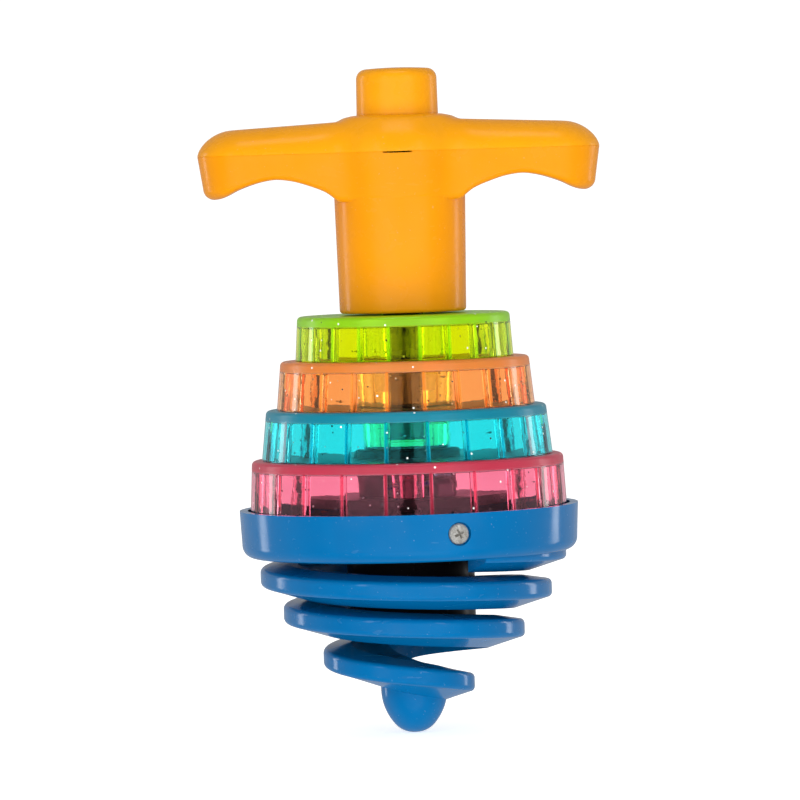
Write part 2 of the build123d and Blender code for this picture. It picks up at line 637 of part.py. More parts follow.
# ---------------------------------------------------------------- inside the top
def make_housing() -> None:
    """Dark bell for the electronics: drum, screw flange and neck, open at the foot."""
    flange_low = FLANGE_TOP_Z - HOUSING_FLANGE_THICK
    drum_low = HOUSING_END_Z + BATTERY_COVER_THICK
    with BuildPart() as housing:
        with BuildSketch(Plane.XY.offset(drum_low)):
            Circle(HOUSING_RADIUS)
        extrude(amount=flange_low - drum_low)
        with BuildSketch(Plane.XY.offset(flange_low)):
            Circle(HOUSING_FLANGE_RADIUS)
        extrude(amount=HOUSING_FLANGE_THICK)
        with BuildSketch(Plane.XY.offset(FLANGE_TOP_Z)):
            Circle(NECK_RADIUS)
        extrude(amount=SOCKET_TUBE_END_Z - FLANGE_TOP_Z)
        fillet(housing.edges().group_by(Axis.Z)[-1], 0.5)
        with BuildSketch(Plane.XY.offset(drum_low)):
            Circle(HOUSING_RADIUS - HOUSING_WALL)
        extrude(amount=FLANGE_TOP_Z - HOUSING_WALL - drum_low, mode=Mode.SUBTRACT)
        with BuildSketch(Plane.XY.offset(drum_low)):
            Circle(NECK_RADIUS - HOUSING_WALL)
        extrude(amount=SOCKET_TUBE_END_Z - HOUSING_WALL - drum_low, mode=Mode.SUBTRACT)
        # flange screws, lamp seats and the holes that the wires leave by
        with BuildSketch(Plane.XY.offset(flange_low)):
            with PolarLocations(POST_CIRCLE, 3, start_angle=30):
                Circle(1.15)
            with PolarLocations(LAMP_CIRCLE, 3, start_angle=LAMP_ANGLE):
                Circle(LAMP_RADIUS + 0.1)
            with Locations(*WIRE_HOLES):
                Circle(WIRE_RADIUS + 0.25)
        extrude(amount=HOUSING_FLANGE_THICK, mode=Mode.SUBTRACT)
        # lugs for the cover's screws
        with BuildSketch(Plane.XY.offset(drum_low)):
            with Locations((COVER_SCREW_X, 0), (-COVER_SCREW_X, 0)):
                Rectangle(3.6, 4.0)
            Circle(HOUSING_RADIUS - 0.2, mode=Mode.INTERSECT)
        extrude(amount=7)
        with BuildSketch(Plane.XY.offset(drum_low)):
            with Locations((COVER_SCREW_X, 0), (-COVER_SCREW_X, 0)):
                Circle(0.9 + THREAD_GAP)
        extrude(amount=5.5, mode=Mode.SUBTRACT)
    finish(housing, "module_housing")

    with BuildPart() as cover:
        with BuildSketch(Plane.XY.offset(HOUSING_END_Z)):
            Circle(HOUSING_RADIUS)
        extrude(amount=BATTERY_COVER_THICK)
        fillet(cover.edges().group_by(Axis.Z)[0], 0.6)
        with BuildSketch(Plane.XY.offset(HOUSING_END_Z)):
            with Locations((COVER_SCREW_X, 0), (-COVER_SCREW_X, 0)):
                Circle(1.05)
        extrude(amount=BATTERY_COVER_THICK, mode=Mode.SUBTRACT)
        with BuildSketch(Plane.XY.offset(HOUSING_END_Z)):
            with Locations((COVER_SCREW_X, 0), (-COVER_SCREW_X, 0)):
                Circle(1.75)
        extrude(amount=0.95, mode=Mode.SUBTRACT)
    finish(cover, "battery_cover")


def make_battery() -> None:
    """Cradle, cells and the two contacts, stacked on the axis."""
    cradle_low = HOUSING_END_Z + BATTERY_COVER_THICK + 0.1
    stack_top = CELL_Z + CELL_COUNT * CELL_HEIGHT
    with BuildPart() as cradle:
        with BuildSketch(Plane.XY.offset(cradle_low)):
            Circle(CELL_RADIUS + 1.5)
        extrude(amount=stack_top + 1.6 - cradle_low)
        with BuildSketch(Plane.XY.offset(stack_top)):
            Circle(HOUSING_RADIUS - HOUSING_WALL - 0.15)
        extrude(amount=1.6)
        with BuildSketch(Plane.XY.offset(cradle_low)):
            Circle(CELL_RADIUS + 0.25)
        extrude(amount=stack_top + 0.4 - cradle_low, mode=Mode.SUBTRACT)
    finish(cradle, "battery_cradle")

    with BuildPart() as cells:
        for index in range(CELL_COUNT):
            low = CELL_Z + index * CELL_HEIGHT
            with BuildSketch(Plane.XZ):
                with BuildLine():
                    Polyline((0, low), (CELL_RADIUS - 0.9, low), (CELL_RADIUS - 0.9, low + 0.3),
                             (CELL_RADIUS, low + 0.6), (CELL_RADIUS, low + CELL_HEIGHT - 0.2),
                             (CELL_RADIUS - 0.2, low + CELL_HEIGHT - 0.05),
                             (0, low + CELL_HEIGHT - 0.05), close=True)
                make_face()
            revolve(axis=Axis.Z)
    finish(cells, "button_cells")

    with BuildPart() as plate:
        with BuildSketch(Plane.XY.offset(stack_top)):
            Circle(4.6)
        extrude(amount=0.3)
    finish(plate, "contact_plate")

    with BuildPart() as coil:
        add(spring(CONTACT_SPRING, cradle_low, CELL_Z - 0.05))
    finish(coil, "contact_spring")


def make_electronics() -> None:
    """Board with its chip, motion switch, lamps and the wires over the shoulder."""
    with BuildPart() as board:
        with BuildSketch(Plane.XY.offset(BOARD_Z)):
            Circle(HOUSING_RADIUS - HOUSING_WALL - 0.3)
        extrude(amount=1.0)
        with BuildSketch(Plane.XY.offset(BOARD_Z + 1.0)):
            with Locations((-3.2, 2.5)):
                Ellipse(3.0, 2.4)
        extrude(amount=1.1, taper=20)
    finish(board, "circuit_board")

    with BuildPart() as switch:
        with BuildSketch(Plane.XY.offset(BOARD_Z + 1.0)):
            with Locations((4.2, -2.0)):
                Circle(2.2)
        extrude(amount=7.5)
        fillet(switch.edges().group_by(Axis.Z)[-1], 0.6)
    finish(switch, "motion_switch")

    with BuildPart() as lamps:
        for spot in PolarLocations(LAMP_CIRCLE, 3, start_angle=LAMP_ANGLE).locations:
            with BuildSketch(Plane.XY.offset(FLANGE_TOP_Z - 1.9)):
                with Locations(spot):
                    Circle(LAMP_RADIUS)
            extrude(amount=5.9)
            with BuildSketch(Plane.XY.offset(FLANGE_TOP_Z + 0.05)):
                with Locations(spot):
                    Circle(LAMP_RADIUS + 0.35)
            extrude(amount=0.8)
        fillet(lamps.edges().group_by(Axis.Z)[-1], LAMP_RADIUS - 0.15)
    finish(lamps, "led_lamps")

    for name, route in (("led_wire_blue", BLUE_ROUTE), ("led_wire_dark", DARK_ROUTE)):
        with BuildPart() as wire:
            with BuildLine():
                path = FilletPolyline(*route, radius=bend_radii(route))
            with BuildSketch(path ^ 0):
                Circle(WIRE_RADIUS)
            sweep(path=path)
        finish(wire, name)


def make_top_screws() -> None:
    """Screws of the cup, of the housing's flange and of the battery cover."""
    body_screw = screw(*BODY_SCREW)
    with BuildPart() as body_screws:
        for step in THIRDS:
            aim = BODY_SCREW_ANGLE + step
            seat = Plane(origin=(*radial(aim, BODY_SCREW_SEAT), BODY_SCREW_Z), z_dir=(*radial(aim), 0))
            add(seat * body_screw)
    finish(body_screws, "body_screws")

    module_screw = screw(*MODULE_SCREW)
    with BuildPart() as module_screws:
        for spot in PolarLocations(POST_CIRCLE, 3, start_angle=30).locations:
            add(Pos(0, 0, FLANGE_TOP_Z - HOUSING_FLANGE_THICK) * spot * Rot(180, 0, 0) * module_screw)
    finish(module_screws, "module_screws")

    cover_screw = screw(*COVER_SCREW)
    with BuildPart() as cover_screws:
        for side in (-1, 1):
            add(Pos(side * COVER_SCREW_X, 0, HOUSING_END_Z + 0.95) * Rot(180, 0, 0) * cover_screw)
    finish(cover_screws, "cover_screws")


os.makedirs("parts", exist_ok=True)
make_handle_body()
make_handle_cover()
make_button()
make_spindle()
make_launcher_screws()
make_tiers()
make_spiral_base()
make_housing()
make_battery()
make_electronics()
make_top_screws()
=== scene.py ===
"""Light-up spinning top on its T-handle launcher: meshes, finishes, floor, light and camera.

The nose's tip is the origin, +Z is up and the handle's arms run along X. Shapes are worked out
in millimetres and written in metres. Every piece rides on its CAD body.
"""

import logging
import math
from collections.abc import Callable, Iterable, Sequence
from dataclasses import dataclass, field
from enum import Enum

import bmesh
import bpy
from mathutils import Euler, Matrix, Vector
from mathutils.geometry import delaunay_2d_cdt

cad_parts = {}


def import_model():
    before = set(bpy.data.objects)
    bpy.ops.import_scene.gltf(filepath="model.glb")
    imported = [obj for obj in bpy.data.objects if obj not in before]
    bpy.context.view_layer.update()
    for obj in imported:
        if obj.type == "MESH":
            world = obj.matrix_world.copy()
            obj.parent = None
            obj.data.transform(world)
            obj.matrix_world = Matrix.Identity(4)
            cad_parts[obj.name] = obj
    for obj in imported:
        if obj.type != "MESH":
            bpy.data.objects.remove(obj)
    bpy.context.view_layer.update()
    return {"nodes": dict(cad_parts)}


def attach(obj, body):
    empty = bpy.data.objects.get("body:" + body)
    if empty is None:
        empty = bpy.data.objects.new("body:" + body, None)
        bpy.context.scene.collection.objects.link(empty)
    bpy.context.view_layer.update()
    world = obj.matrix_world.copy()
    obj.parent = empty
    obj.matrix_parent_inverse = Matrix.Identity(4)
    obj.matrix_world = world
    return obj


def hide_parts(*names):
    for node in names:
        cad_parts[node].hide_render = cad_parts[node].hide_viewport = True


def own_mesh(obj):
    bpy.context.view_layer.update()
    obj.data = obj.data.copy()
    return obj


log = logging.getLogger("spinning_top")

MM = 0.001
THIRDS = (0, 120, 240)

Flat = tuple[float, float]
Point = tuple[float, float, float]
Colour = tuple[float, float, float]


class Body(Enum):
    """CAD bodies that a piece can ride on."""

    LAUNCHER = "launcher"
    BUTTON = "button"
    TOP = "top"


class Join(Enum):
    """Ways to combine two closed meshes."""

    ADD = "UNION"
    CUT = "DIFFERENCE"


class Slot(Enum):
    """The record's material slots."""

    ORANGE = "orange_plastic"
    AMBER = "amber_plastic"
    BLUE = "blue_plastic"
    BLACK = "black_plastic"
    CLEAR_GREEN = "clear_green"
    CLEAR_ORANGE = "clear_orange"
    CLEAR_TEAL = "clear_teal"
    CLEAR_PINK = "clear_pink"
    STEEL = "steel"
    ZINC = "zinc"
    CELL_STEEL = "cell_steel"
    BRASS = "contact_brass"
    BOARD = "board"
    LAMP = "lamp_plastic"
    BLUE_WIRE = "blue_wire"
    DARK_WIRE = "dark_wire"


# ---------------------------------------------------------------- small sums
def ease(value: float, start: float, end: float) -> float:
    """Smooth share of the way from start to end, held at 0 and 1 outside them."""
    share = min(max((value - start) / (end - start), 0.0), 1.0)
    return share * share * (3 - 2 * share)


def arc(centre: Flat, radius: float, start: float, end: float, steps: int) -> list[Flat]:
    """Points along an arc.

    Args:
        centre: the arc's centre.
        radius: its radius.
        start, end: angles in degrees, in the order wanted.
        steps: number of runs between the points.

    Returns:
        steps + 1 points from start to end.
    """
    angles = [math.radians(start + (end - start) * i / steps) for i in range(steps + 1)]
    return [(centre[0] + radius * math.cos(a), centre[1] + radius * math.sin(a)) for a in angles]


def line(start: Flat, end: Flat, steps: int) -> list[Flat]:
    """Points in even steps from start to end, without the start."""
    return [tuple(a + (b - a) * i / steps for a, b in zip(start, end)) for i in range(1, steps + 1)]


def curve_through(knots: Sequence[Flat], x: float) -> float:
    """Height at x of a smooth curve through knots in rising order of x, level outside them."""
    if x <= knots[0][0]:
        return knots[0][1]
    if x >= knots[-1][0]:
        return knots[-1][1]
    i = max(k for k in range(len(knots) - 1) if knots[k][0] <= x)

    def slope(k: int) -> float:
        """Slope at one knot, from its neighbours."""
        low, high = max(k - 1, 0), min(k + 1, len(knots) - 1)
        return (knots[high][1] - knots[low][1]) / (knots[high][0] - knots[low][0])

    (x0, y0), (x1, y1) = knots[i], knots[i + 1]
    run = x1 - x0
    t = (x - x0) / run
    s = t * t * (3 - 2 * t)
    return (y0 * (1 - s) + y1 * s + run * slope(i) * t * (1 - t) ** 2 - run * slope(i + 1) * t * t * (1 - t))


def polar(angle: float, radius: float, height: float) -> Point:
    """Point at an angle in degrees and a distance from the axis."""
    return radius * math.cos(math.radians(angle)), radius * math.sin(math.radians(angle)), height


def moved(x: float, y: float = 0.0, z: float = 0.0) -> Matrix:
    """Move by a distance in millimetres."""
    return Matrix.Translation((x * MM, y * MM, z * MM))


def turned_by(angle: float, axis: str = "Z") -> Matrix:
    """Turn by an angle in degrees about an axis through the origin."""
    return Matrix.Rotation(math.radians(angle), 4, axis)


# ---------------------------------------------------------------- meshes
@dataclass
class Skin:
    """Points in millimetres and faces of one piece while it is being made."""

    points: list[Point] = field(default_factory=list)
    faces: list[tuple[int, ...]] = field(default_factory=list)

    def ring(self, points: Iterable[Point]) -> list[int]:
        """Adds points.

        Args:
            points: the points, in order.

        Returns:
            Their numbers.
        """
        first = len(self.points)
        self.points.extend(points)
        return list(range(first, len(self.points)))

    def circle(self, radius: float, height: float, sides: int) -> list[int]:
        """Adds a circle's points round the axis and returns their numbers."""
        return self.ring(polar(360 * i / sides, radius, height) for i in range(sides))

    def bridge(self, low: Sequence[int], high: Sequence[int]) -> None:
        """Joins two closed rings of the same length with four-sided faces."""
        for i in range(len(low)):
            j = (i + 1) % len(low)
            self.faces.append((low[i], low[j], high[j], high[i]))

    def cap(self, ring: Sequence[int]) -> None:
        """Closes a ring with one face."""
        self.faces.append(tuple(ring))

    def stack(self, rings: Sequence[Sequence[int]], loop: bool = False) -> None:
        """Joins each ring to the next, and the last to the first if loop is set."""
        for low, high in zip(rings, rings[1:]):
            self.bridge(low, high)
        if loop:
            self.bridge(rings[-1], rings[0])

    def to_object(self, name: str, weld: float = 1e-4) -> bpy.types.Object:
        """Writes the skin as a mesh object in metres, its faces turned outwards.

        Args:
            name: the object's name.
            weld: points nearer to each other than this, in millimetres, become one.

        Returns:
            The new object, linked to the scene.
        """
        mesh = bpy.data.meshes.new(name)
        mesh.from_pydata([tuple(c * MM for c in p) for p in self.points], [], self.faces)
        work = bmesh.new()
        work.from_mesh(mesh)
        bmesh.ops.remove_doubles(work, verts=work.verts, dist=weld * MM)
        bmesh.ops.recalc_face_normals(work, faces=work.faces)
        work.to_mesh(mesh)
        work.free()
        return shown(name, mesh)


def shown(name: str, data: bpy.types.ID) -> bpy.types.Object:
    """Makes an object of a mesh, lamp or camera and links it to the scene."""
    made = bpy.data.objects.new(name, data)
    bpy.context.scene.collection.objects.link(made)
    return made


def lathe(name: str, profile: Sequence[Flat], sides: int = 128, closed: bool = True) -> bpy.types.Object:
    """Turns a profile round the Z axis.

    Args:
        name: the object's name.
        profile: (radius, height) points in millimetres; a closed profile is a loop off the axis,
            an open one starts and ends on the axis.
        sides: number of steps round the axis.
        closed: whether the profile is a loop.

    Returns:
        The turned object.
    """
    skin = Skin()
    rings = [skin.circle(radius, height, sides) for radius, height in profile]
    skin.stack(rings, loop=closed)
    return skin.to_object(name)


def prism(
    name: str, outline: Sequence[Flat], low: float, high: float, shrink: float = 1.0
) -> bpy.types.Object:
    """Upright block with a flat outline; shrink scales the outline at the low end."""
    skin = Skin()
    foot = skin.ring((x * shrink, y * shrink, low) for x, y in outline)
    head = skin.ring((x, y, high) for x, y in outline)
    skin.bridge(foot, head)
    skin.cap(foot)
    skin.cap(head)
    return skin.to_object(name)


def combine(target: bpy.types.Object, tool: bpy.types.Object, how: Join) -> bpy.types.Object:
    """Joins a closed mesh with another or cuts it, and removes the tool.

    Args:
        target: the object that is kept.
        tool: the object that is used up.
        how: the way of combining them.

    Returns:
        The target, with its new mesh.
    """
    modifier = target.modifiers.new("combine", "BOOLEAN")
    modifier.operation = how.value
    modifier.solver = "MANIFOLD"
    modifier.object = tool
    depsgraph = bpy.context.evaluated_depsgraph_get()
    made = bpy.data.meshes.new_from_object(target.evaluated_get(depsgraph))
    if not made.polygons:
        log.warning("%s: combining with %s left nothing", target.name, tool.name)
    target.modifiers.clear()
    old, target.data = target.data, made
    bpy.data.meshes.remove(old)
    bpy.data.objects.remove(tool)
    return target


def merge(name: str, parts: Sequence[bpy.types.Object]) -> bpy.types.Object:
    """Puts separate meshes into one object without combining their volumes."""
    work = bmesh.new()
    for part in parts:
        part.data.transform(part.matrix_world)
        work.from_mesh(part.data)
    mesh = bpy.data.meshes.new(name)
    work.to_mesh(mesh)
    work.free()
    for part in parts:
        bpy.data.objects.remove(part)
    return shown(name, mesh)


def put(piece: bpy.types.Object, place: Matrix) -> bpy.types.Object:
    """Moves a piece's mesh, given in metres, and leaves its object at the origin."""
    piece.data.transform(place)
    return piece


def smooth(piece: bpy.types.Object, crease: float) -> bpy.types.Object:
    """Shades a piece smoothly, with a sharp edge wherever faces turn by more than crease degrees."""
    piece.data.shade_smooth()
    piece.data.set_sharp_from_angle(angle=math.radians(crease))
    return piece


def settle(piece: bpy.types.Object, body: Body, slot: Slot, nodes: Sequence[str]) -> bpy.types.Object:
    """Makes a piece ride on its body and stand for its CAD nodes.

    Args:
        piece: the finished object.
        body: the body that it moves with.
        slot: not used; the material slot that it belongs to.
        nodes: the CAD nodes that it replaces.

    Returns:
        The piece.
    """
    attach(piece, body.value)
    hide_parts(*nodes)
    return piece


# ---------------------------------------------------------------- finishes
class Recipe:
    """A material in the making: adds shader nodes and links them."""

    def __init__(self, name: str) -> None:
        """Starts a material with its shader and output."""
        self.material = bpy.data.materials.new(name)
        self.material.use_nodes = True
        self.tree = self.material.node_tree
        self.tree.nodes.clear()
        self.output = self.add("ShaderNodeOutputMaterial")
        self.shader = self.add("ShaderNodeBsdfPrincipled")
        self.link(self.shader.outputs["BSDF"], self.output.inputs["Surface"])
        self.where = self.add("ShaderNodeTexCoord").outputs["Object"]

    def add(self, kind: str, **settings: object) -> bpy.types.Node:
        """Adds a node and sets its properties."""
        node = self.tree.nodes.new(kind)
        for key, value in settings.items():
            setattr(node, key, value)
        return node

    def link(self, source: bpy.types.NodeSocket, target: bpy.types.NodeSocket) -> None:
        """Links an output to an input."""
        self.tree.links.new(source, target)

    def stretched(self, x: float, y: float, z: float) -> bpy.types.NodeSocket:
        """Object coordinates scaled by a factor along each axis."""
        node = self.add("ShaderNodeMapping")
        node.inputs["Scale"].default_value = (x, y, z)
        self.link(self.where, node.inputs["Vector"])
        return node.outputs["Vector"]

    def noise(
        self, size: float, detail: float = 2.0, twist: float = 0.0, where: bpy.types.NodeSocket | None = None
    ) -> bpy.types.NodeSocket:
        """Adds a noise pattern.

        Args:
            size: width of its features in millimetres.
            detail: number of finer layers.
            twist: how far the pattern is distorted.
            where: the coordinates that it reads, or None for the object's own.

        Returns:
            The pattern's value.
        """
        node = self.add("ShaderNodeTexNoise")
        node.inputs["Scale"].default_value = 1 / (size * MM)
        node.inputs["Detail"].default_value = detail
        node.inputs["Distortion"].default_value = twist
        self.link(where or self.where, node.inputs["Vector"])
        return node.outputs["Fac"]

    def cells(self, size: float, feature: str = "F1") -> bpy.types.NodeSocket:
        """Adds a cell pattern whose value is the distance from each cell's middle, or its edge."""
        node = self.add("ShaderNodeTexVoronoi", feature=feature)
        node.inputs["Scale"].default_value = 1 / (size * MM)
        self.link(self.where, node.inputs["Vector"])
        return node.outputs["Distance"]

    def spread(
        self, value: bpy.types.NodeSocket, low: float, high: float, to_low: float, to_high: float
    ) -> bpy.types.NodeSocket:
        """Maps a value's range low to high onto another range, held at its ends."""
        node = self.add("ShaderNodeMapRange", clamp=True)
        for key, number in zip(("From Min", "From Max", "To Min", "To Max"), (low, high, to_low, to_high)):
            node.inputs[key].default_value = number
        self.link(value, node.inputs["Value"])
        return node.outputs["Result"]

    def calculate(self, operation: str, first: object, second: object) -> bpy.types.NodeSocket:
        """Calculates with two numbers or output sockets.

        Args:
            operation: what to work out, such as MAXIMUM.
            first, second: a number or an output socket each.

        Returns:
            The result.
        """
        node = self.add("ShaderNodeMath", operation=operation)
        for socket, value in zip(node.inputs, (first, second)):
            if isinstance(value, bpy.types.NodeSocket):
                self.link(value, socket)
            else:
                socket.default_value = value
        return node.outputs[0]

    def mix(self, factor: bpy.types.NodeSocket, low: object, high: object) -> bpy.types.NodeSocket:
        """Mixes two colours.

        Args:
            factor: how much of the second one shows.
            low, high: a linear colour or an output socket each.

        Returns:
            The mixed colour.
        """
        node = self.add("ShaderNodeMix", data_type="RGBA")
        self.link(factor, node.inputs["Factor"])
        for key, value in (("A", low), ("B", high)):
            socket = next(s for s in node.inputs if s.name == key and s.type == "RGBA")
            if isinstance(value, bpy.types.NodeSocket):
                self.link(value, socket)
            else:
                socket.default_value = (*value, 1)
        return next(s for s in node.outputs if s.type == "RGBA")

    def paint(self, colour: bpy.types.NodeSocket) -> None:
        """Links a colour to the shader."""
        self.link(colour, self.shader.inputs["Base Color"])

    def roughen(self, roughness: bpy.types.NodeSocket) -> None:
        """Links a roughness to the shader."""
        self.link(roughness, self.shader.inputs["Roughness"])

    def emboss(self, layers: Sequence[tuple[bpy.types.NodeSocket, float]]) -> None:
        """Stacks bump layers on the shader's normal.

        Args:
            layers: (height pattern, height in millimetres) pairs, the coarsest first.
        """
        normal = None
        for height, depth in layers:
            bump = self.add("ShaderNodeBump")
            bump.inputs["Strength"].default_value = 1.0
            bump.inputs["Distance"].default_value = depth * MM
            self.link(height, bump.inputs["Height"])
            if normal is not None:
                self.link(normal, bump.inputs["Normal"])
            normal = bump.outputs["Normal"]
        self.link(normal, self.shader.inputs["Normal"])

    def fix(self, **values: float) -> None:
        """Sets values that are the same all over, on the shader's own sockets."""
        for key, value in values.items():
            self.shader.inputs[key.replace("_", " ")].default_value = value


@dataclass(frozen=True)
class MouldedPlastic:
    """Glossy opaque plastic with flow marks, faint ripple, dust and hairline scuffs."""

    slot: Slot
    colour: Colour
    shade: Colour
    roughness: float = 0.24
    coat: float = 0.15
    gloss: float = 0.17
    ripple: float = 0.004

    def make(self) -> bpy.types.Material:
        """Returns the finished material."""
        mix = Recipe(f"finish_{self.slot.value}")
        flow = mix.spread(mix.noise(22, 3, 0.8), 0.35, 0.68, 0, 1)
        tone = mix.mix(flow, self.shade, self.colour)
        dust = mix.spread(mix.noise(0.55, 1), 0.73, 0.80, 0, 0.35)
        pale = tuple(min(1.0, 0.72 * c + 0.25) for c in self.colour)
        mix.paint(mix.mix(dust, tone, pale))
        scuff = mix.spread(mix.noise(1.1, 2, 0.4, mix.stretched(0.12, 1, 1)), 0.66, 0.74, 0, 0.16)
        patch = mix.spread(mix.noise(6, 3), 0.3, 0.7, self.roughness - 0.05, self.roughness + 0.06)
        mix.roughen(mix.calculate("ADD", scuff, patch))
        wave, grain = (mix.noise(7, 2), 4 * self.ripple), (mix.noise(1.4, 2), self.ripple)
        mix.emboss([wave, grain, (mix.noise(0.16, 1), 0.0006)])
        mix.fix(IOR=1.53, Specular_IOR_Level=self.gloss, Coat_Weight=self.coat, Coat_Roughness=0.08)
        return mix.material


@dataclass(frozen=True)
class ClearPlastic:
    """Tinted see-through plastic: clear windows, a rim band and ribs with painted light (a deeper, partly
    opaque tint), ripple, bubbles with a painted pale highlight, and dark specks.
    """

    slot: Slot
    tint: Colour
    # Painted light: the rim's tint and the opacity of the rim band and ribs stand in for the bright,
    # saturated band that light through the top plate draws.
    painted_rim_tint: Colour
    depth_tint: Colour
    density: float
    rim_low_z: float
    wall_radius: float
    core_tint: Colour = (0.92, 0.96, 0.55)
    core_radius: float = 8.9
    half_window: float = math.pi / 22
    painted_rim_cover: float = 0.52
    painted_rib_cover: float = 0.3
    rib_width: Flat = (0.3, 0.5)
    rib_reach: Flat = (2.8, 2.4)
    speck_cell: float = 1.9
    speck_radius: float = 0.27
    # Pale colour of the bubbles: a painted highlight, the glint that bubbles show in the plastic.
    bubble_highlight: Colour = (0.95, 0.96, 0.92)
    fleck: Colour = (0.02, 0.015, 0.02)

    def make(self) -> bpy.types.Material:
        """Returns the finished material."""
        mix = Recipe(f"finish_{self.slot.value}")
        rim, rib, core = self.zones(mix)
        pale, dark = self.specks(mix)
        cloud = mix.spread(mix.noise(9, 3, 0.5), 0.35, 0.75, 0, 1)
        wall = mix.mix(cloud, self.tint, tuple(c ** 1.12 for c in self.tint))
        # Painted light: the rim band and ribs take this deeper tint, standing in for the bright band that
        # light through the plate gives.
        painted_band_tint = mix.mix(cloud, self.painted_rim_tint, tuple(c ** 1.1 for c in self.painted_rim_tint))
        tone = mix.mix(mix.calculate("MAXIMUM", rim, rib), mix.mix(core, wall, self.core_tint), painted_band_tint)
        # Bubbles get a painted pale highlight; flecks get their own dark colour.
        mix.paint(mix.mix(dark, mix.mix(pale, tone, self.bubble_highlight), self.fleck))
        solid = mix.calculate("MAXIMUM", pale, dark)
        # Makes the painted rim band and ribs partly opaque so that their painted tint shows.
        for mask, most in ((rim, self.painted_rim_cover), (rib, self.painted_rib_cover)):
            solid = mix.calculate("MAXIMUM", solid, mix.spread(mask, 0, 1, 0, most))
        mix.link(mix.calculate("SUBTRACT", 1.0, solid), mix.shader.inputs["Transmission Weight"])
        haze = mix.spread(mix.noise(2.6, 3), 0.35, 0.8, 0.012, 0.05)
        mix.roughen(mix.calculate("MAXIMUM", haze, mix.spread(rim, 0, 1, 0, 0.3)))
        mix.emboss([(mix.noise(4.5, 1, 0.3), 0.03), (mix.noise(0.9, 2), 0.003)])
        mix.fix(IOR=1.5, Specular_IOR_Level=0.35)
        depth = mix.add("ShaderNodeVolumeAbsorption")
        depth.inputs["Color"].default_value = (*self.depth_tint, 1)
        depth.inputs["Density"].default_value = self.density
        mix.link(depth.outputs["Volume"], mix.output.inputs["Volume"])
        return mix.material

    def zones(self, mix: Recipe) -> tuple[bpy.types.NodeSocket, ...]:
        """Marks out the parts of a tier.

        Args:
            mix: the material's nodes.

        Returns:
            Masks of the rim band and of the ribs between the windows, which both get painted light, and of
            the socket in the middle.
        """
        apart = mix.add("ShaderNodeSeparateXYZ")
        mix.link(mix.where, apart.inputs[0])
        x, y, z = apart.outputs
        rim = mix.spread(z, (self.rim_low_z - 0.25) * MM, (self.rim_low_z + 0.1) * MM, 0, 1)
        level = mix.add("ShaderNodeCombineXYZ")
        mix.link(x, level.inputs["X"])
        mix.link(y, level.inputs["Y"])
        away = mix.add("ShaderNodeVectorMath", operation="LENGTH")
        mix.link(level.outputs[0], away.inputs[0])
        reach = away.outputs["Value"]
        turn = mix.calculate("ADD", mix.calculate("ARCTAN2", y, x), math.pi / 2 - self.half_window)
        from_rib = mix.calculate("PINGPONG", turn, self.half_window)
        narrow, wide = (width / self.wall_radius for width in self.rib_width)
        low, high = ((self.wall_radius - depth) * MM for depth in self.rib_reach)
        near = mix.spread(from_rib, narrow, wide, 1, 0)
        rib = mix.calculate("MULTIPLY", near, mix.spread(reach, low, high, 0, 1))
        core = mix.spread(reach, (self.core_radius - 0.05) * MM, (self.core_radius + 0.05) * MM, 1, 0)
        return rim, rib, core

    def specks(self, mix: Recipe) -> tuple[bpy.types.NodeSocket, bpy.types.NodeSocket]:
        """Scatters bubbles, painted as pale highlights, and dark flecks.

        Args:
            mix: the material's nodes.

        Returns:
            Masks of the bubbles' painted pale highlights and of the dark flecks.
        """
        cell = mix.add("ShaderNodeTexVoronoi")
        cell.inputs["Scale"].default_value = 1 / (self.speck_cell * MM)
        mix.link(mix.where, cell.inputs["Vector"])
        reach = self.speck_radius / self.speck_cell
        speck = mix.spread(cell.outputs["Distance"], 0.7 * reach, reach, 1, 0)
        kind = mix.add("ShaderNodeSeparateColor")
        mix.link(cell.outputs["Color"], kind.inputs[0])
        pale = mix.calculate("MULTIPLY", speck, mix.spread(kind.outputs["Red"], 0.78, 0.8, 0, 1))
        dark = mix.calculate("MULTIPLY", speck, mix.spread(kind.outputs["Red"], 0.12, 0.14, 1, 0))
        return pale, dark


@dataclass(frozen=True)
class Metal:
    """Plated or brushed metal with fine tool marks and slight tarnish."""

    slot: Slot
    colour: Colour
    tarnish: Colour
    roughness: float = 0.24
    polish: float = 0.55

    def make(self) -> bpy.types.Material:
        """Returns the finished material."""
        mix = Recipe(f"finish_{self.slot.value}")
        stain = mix.spread(mix.noise(1.6, 4, 0.6), 0.45, 0.75, 0, 1)
        mix.paint(mix.mix(stain, self.colour, self.tarnish))
        mix.roughen(mix.spread(mix.noise(0.7, 3), 0.3, 0.75, self.roughness - 0.06, self.roughness + 0.14))
        marks = mix.noise(0.12, 2, 0, mix.stretched(1, 1, 0.15))
        mix.emboss([(marks, 0.0015), (mix.noise(0.5, 2), 0.003)])
        mix.fix(Metallic=self.polish, IOR=1.5)
        return mix.material


@dataclass(frozen=True)
class CircuitBoard:
    """Green lacquered board with copper tracks under the lacquer."""

    slot: Slot = Slot.BOARD
    lacquer: Colour = (0.01, 0.09, 0.03)
    track: Colour = (0.04, 0.22, 0.06)

    def make(self) -> bpy.types.Material:
        """Returns the finished material."""
        mix = Recipe(f"finish_{self.slot.value}")
        tracks = mix.spread(mix.cells(2.2, "DISTANCE_TO_EDGE"), 0.05, 0.09, 1, 0)
        mix.paint(mix.mix(tracks, self.lacquer, self.track))
        mix.roughen(mix.spread(mix.noise(1.2, 2), 0.3, 0.7, 0.25, 0.4))
        mix.emboss([(tracks, 0.03), (mix.noise(0.3, 1), 0.002)])
        mix.fix(IOR=1.5)
        return mix.material


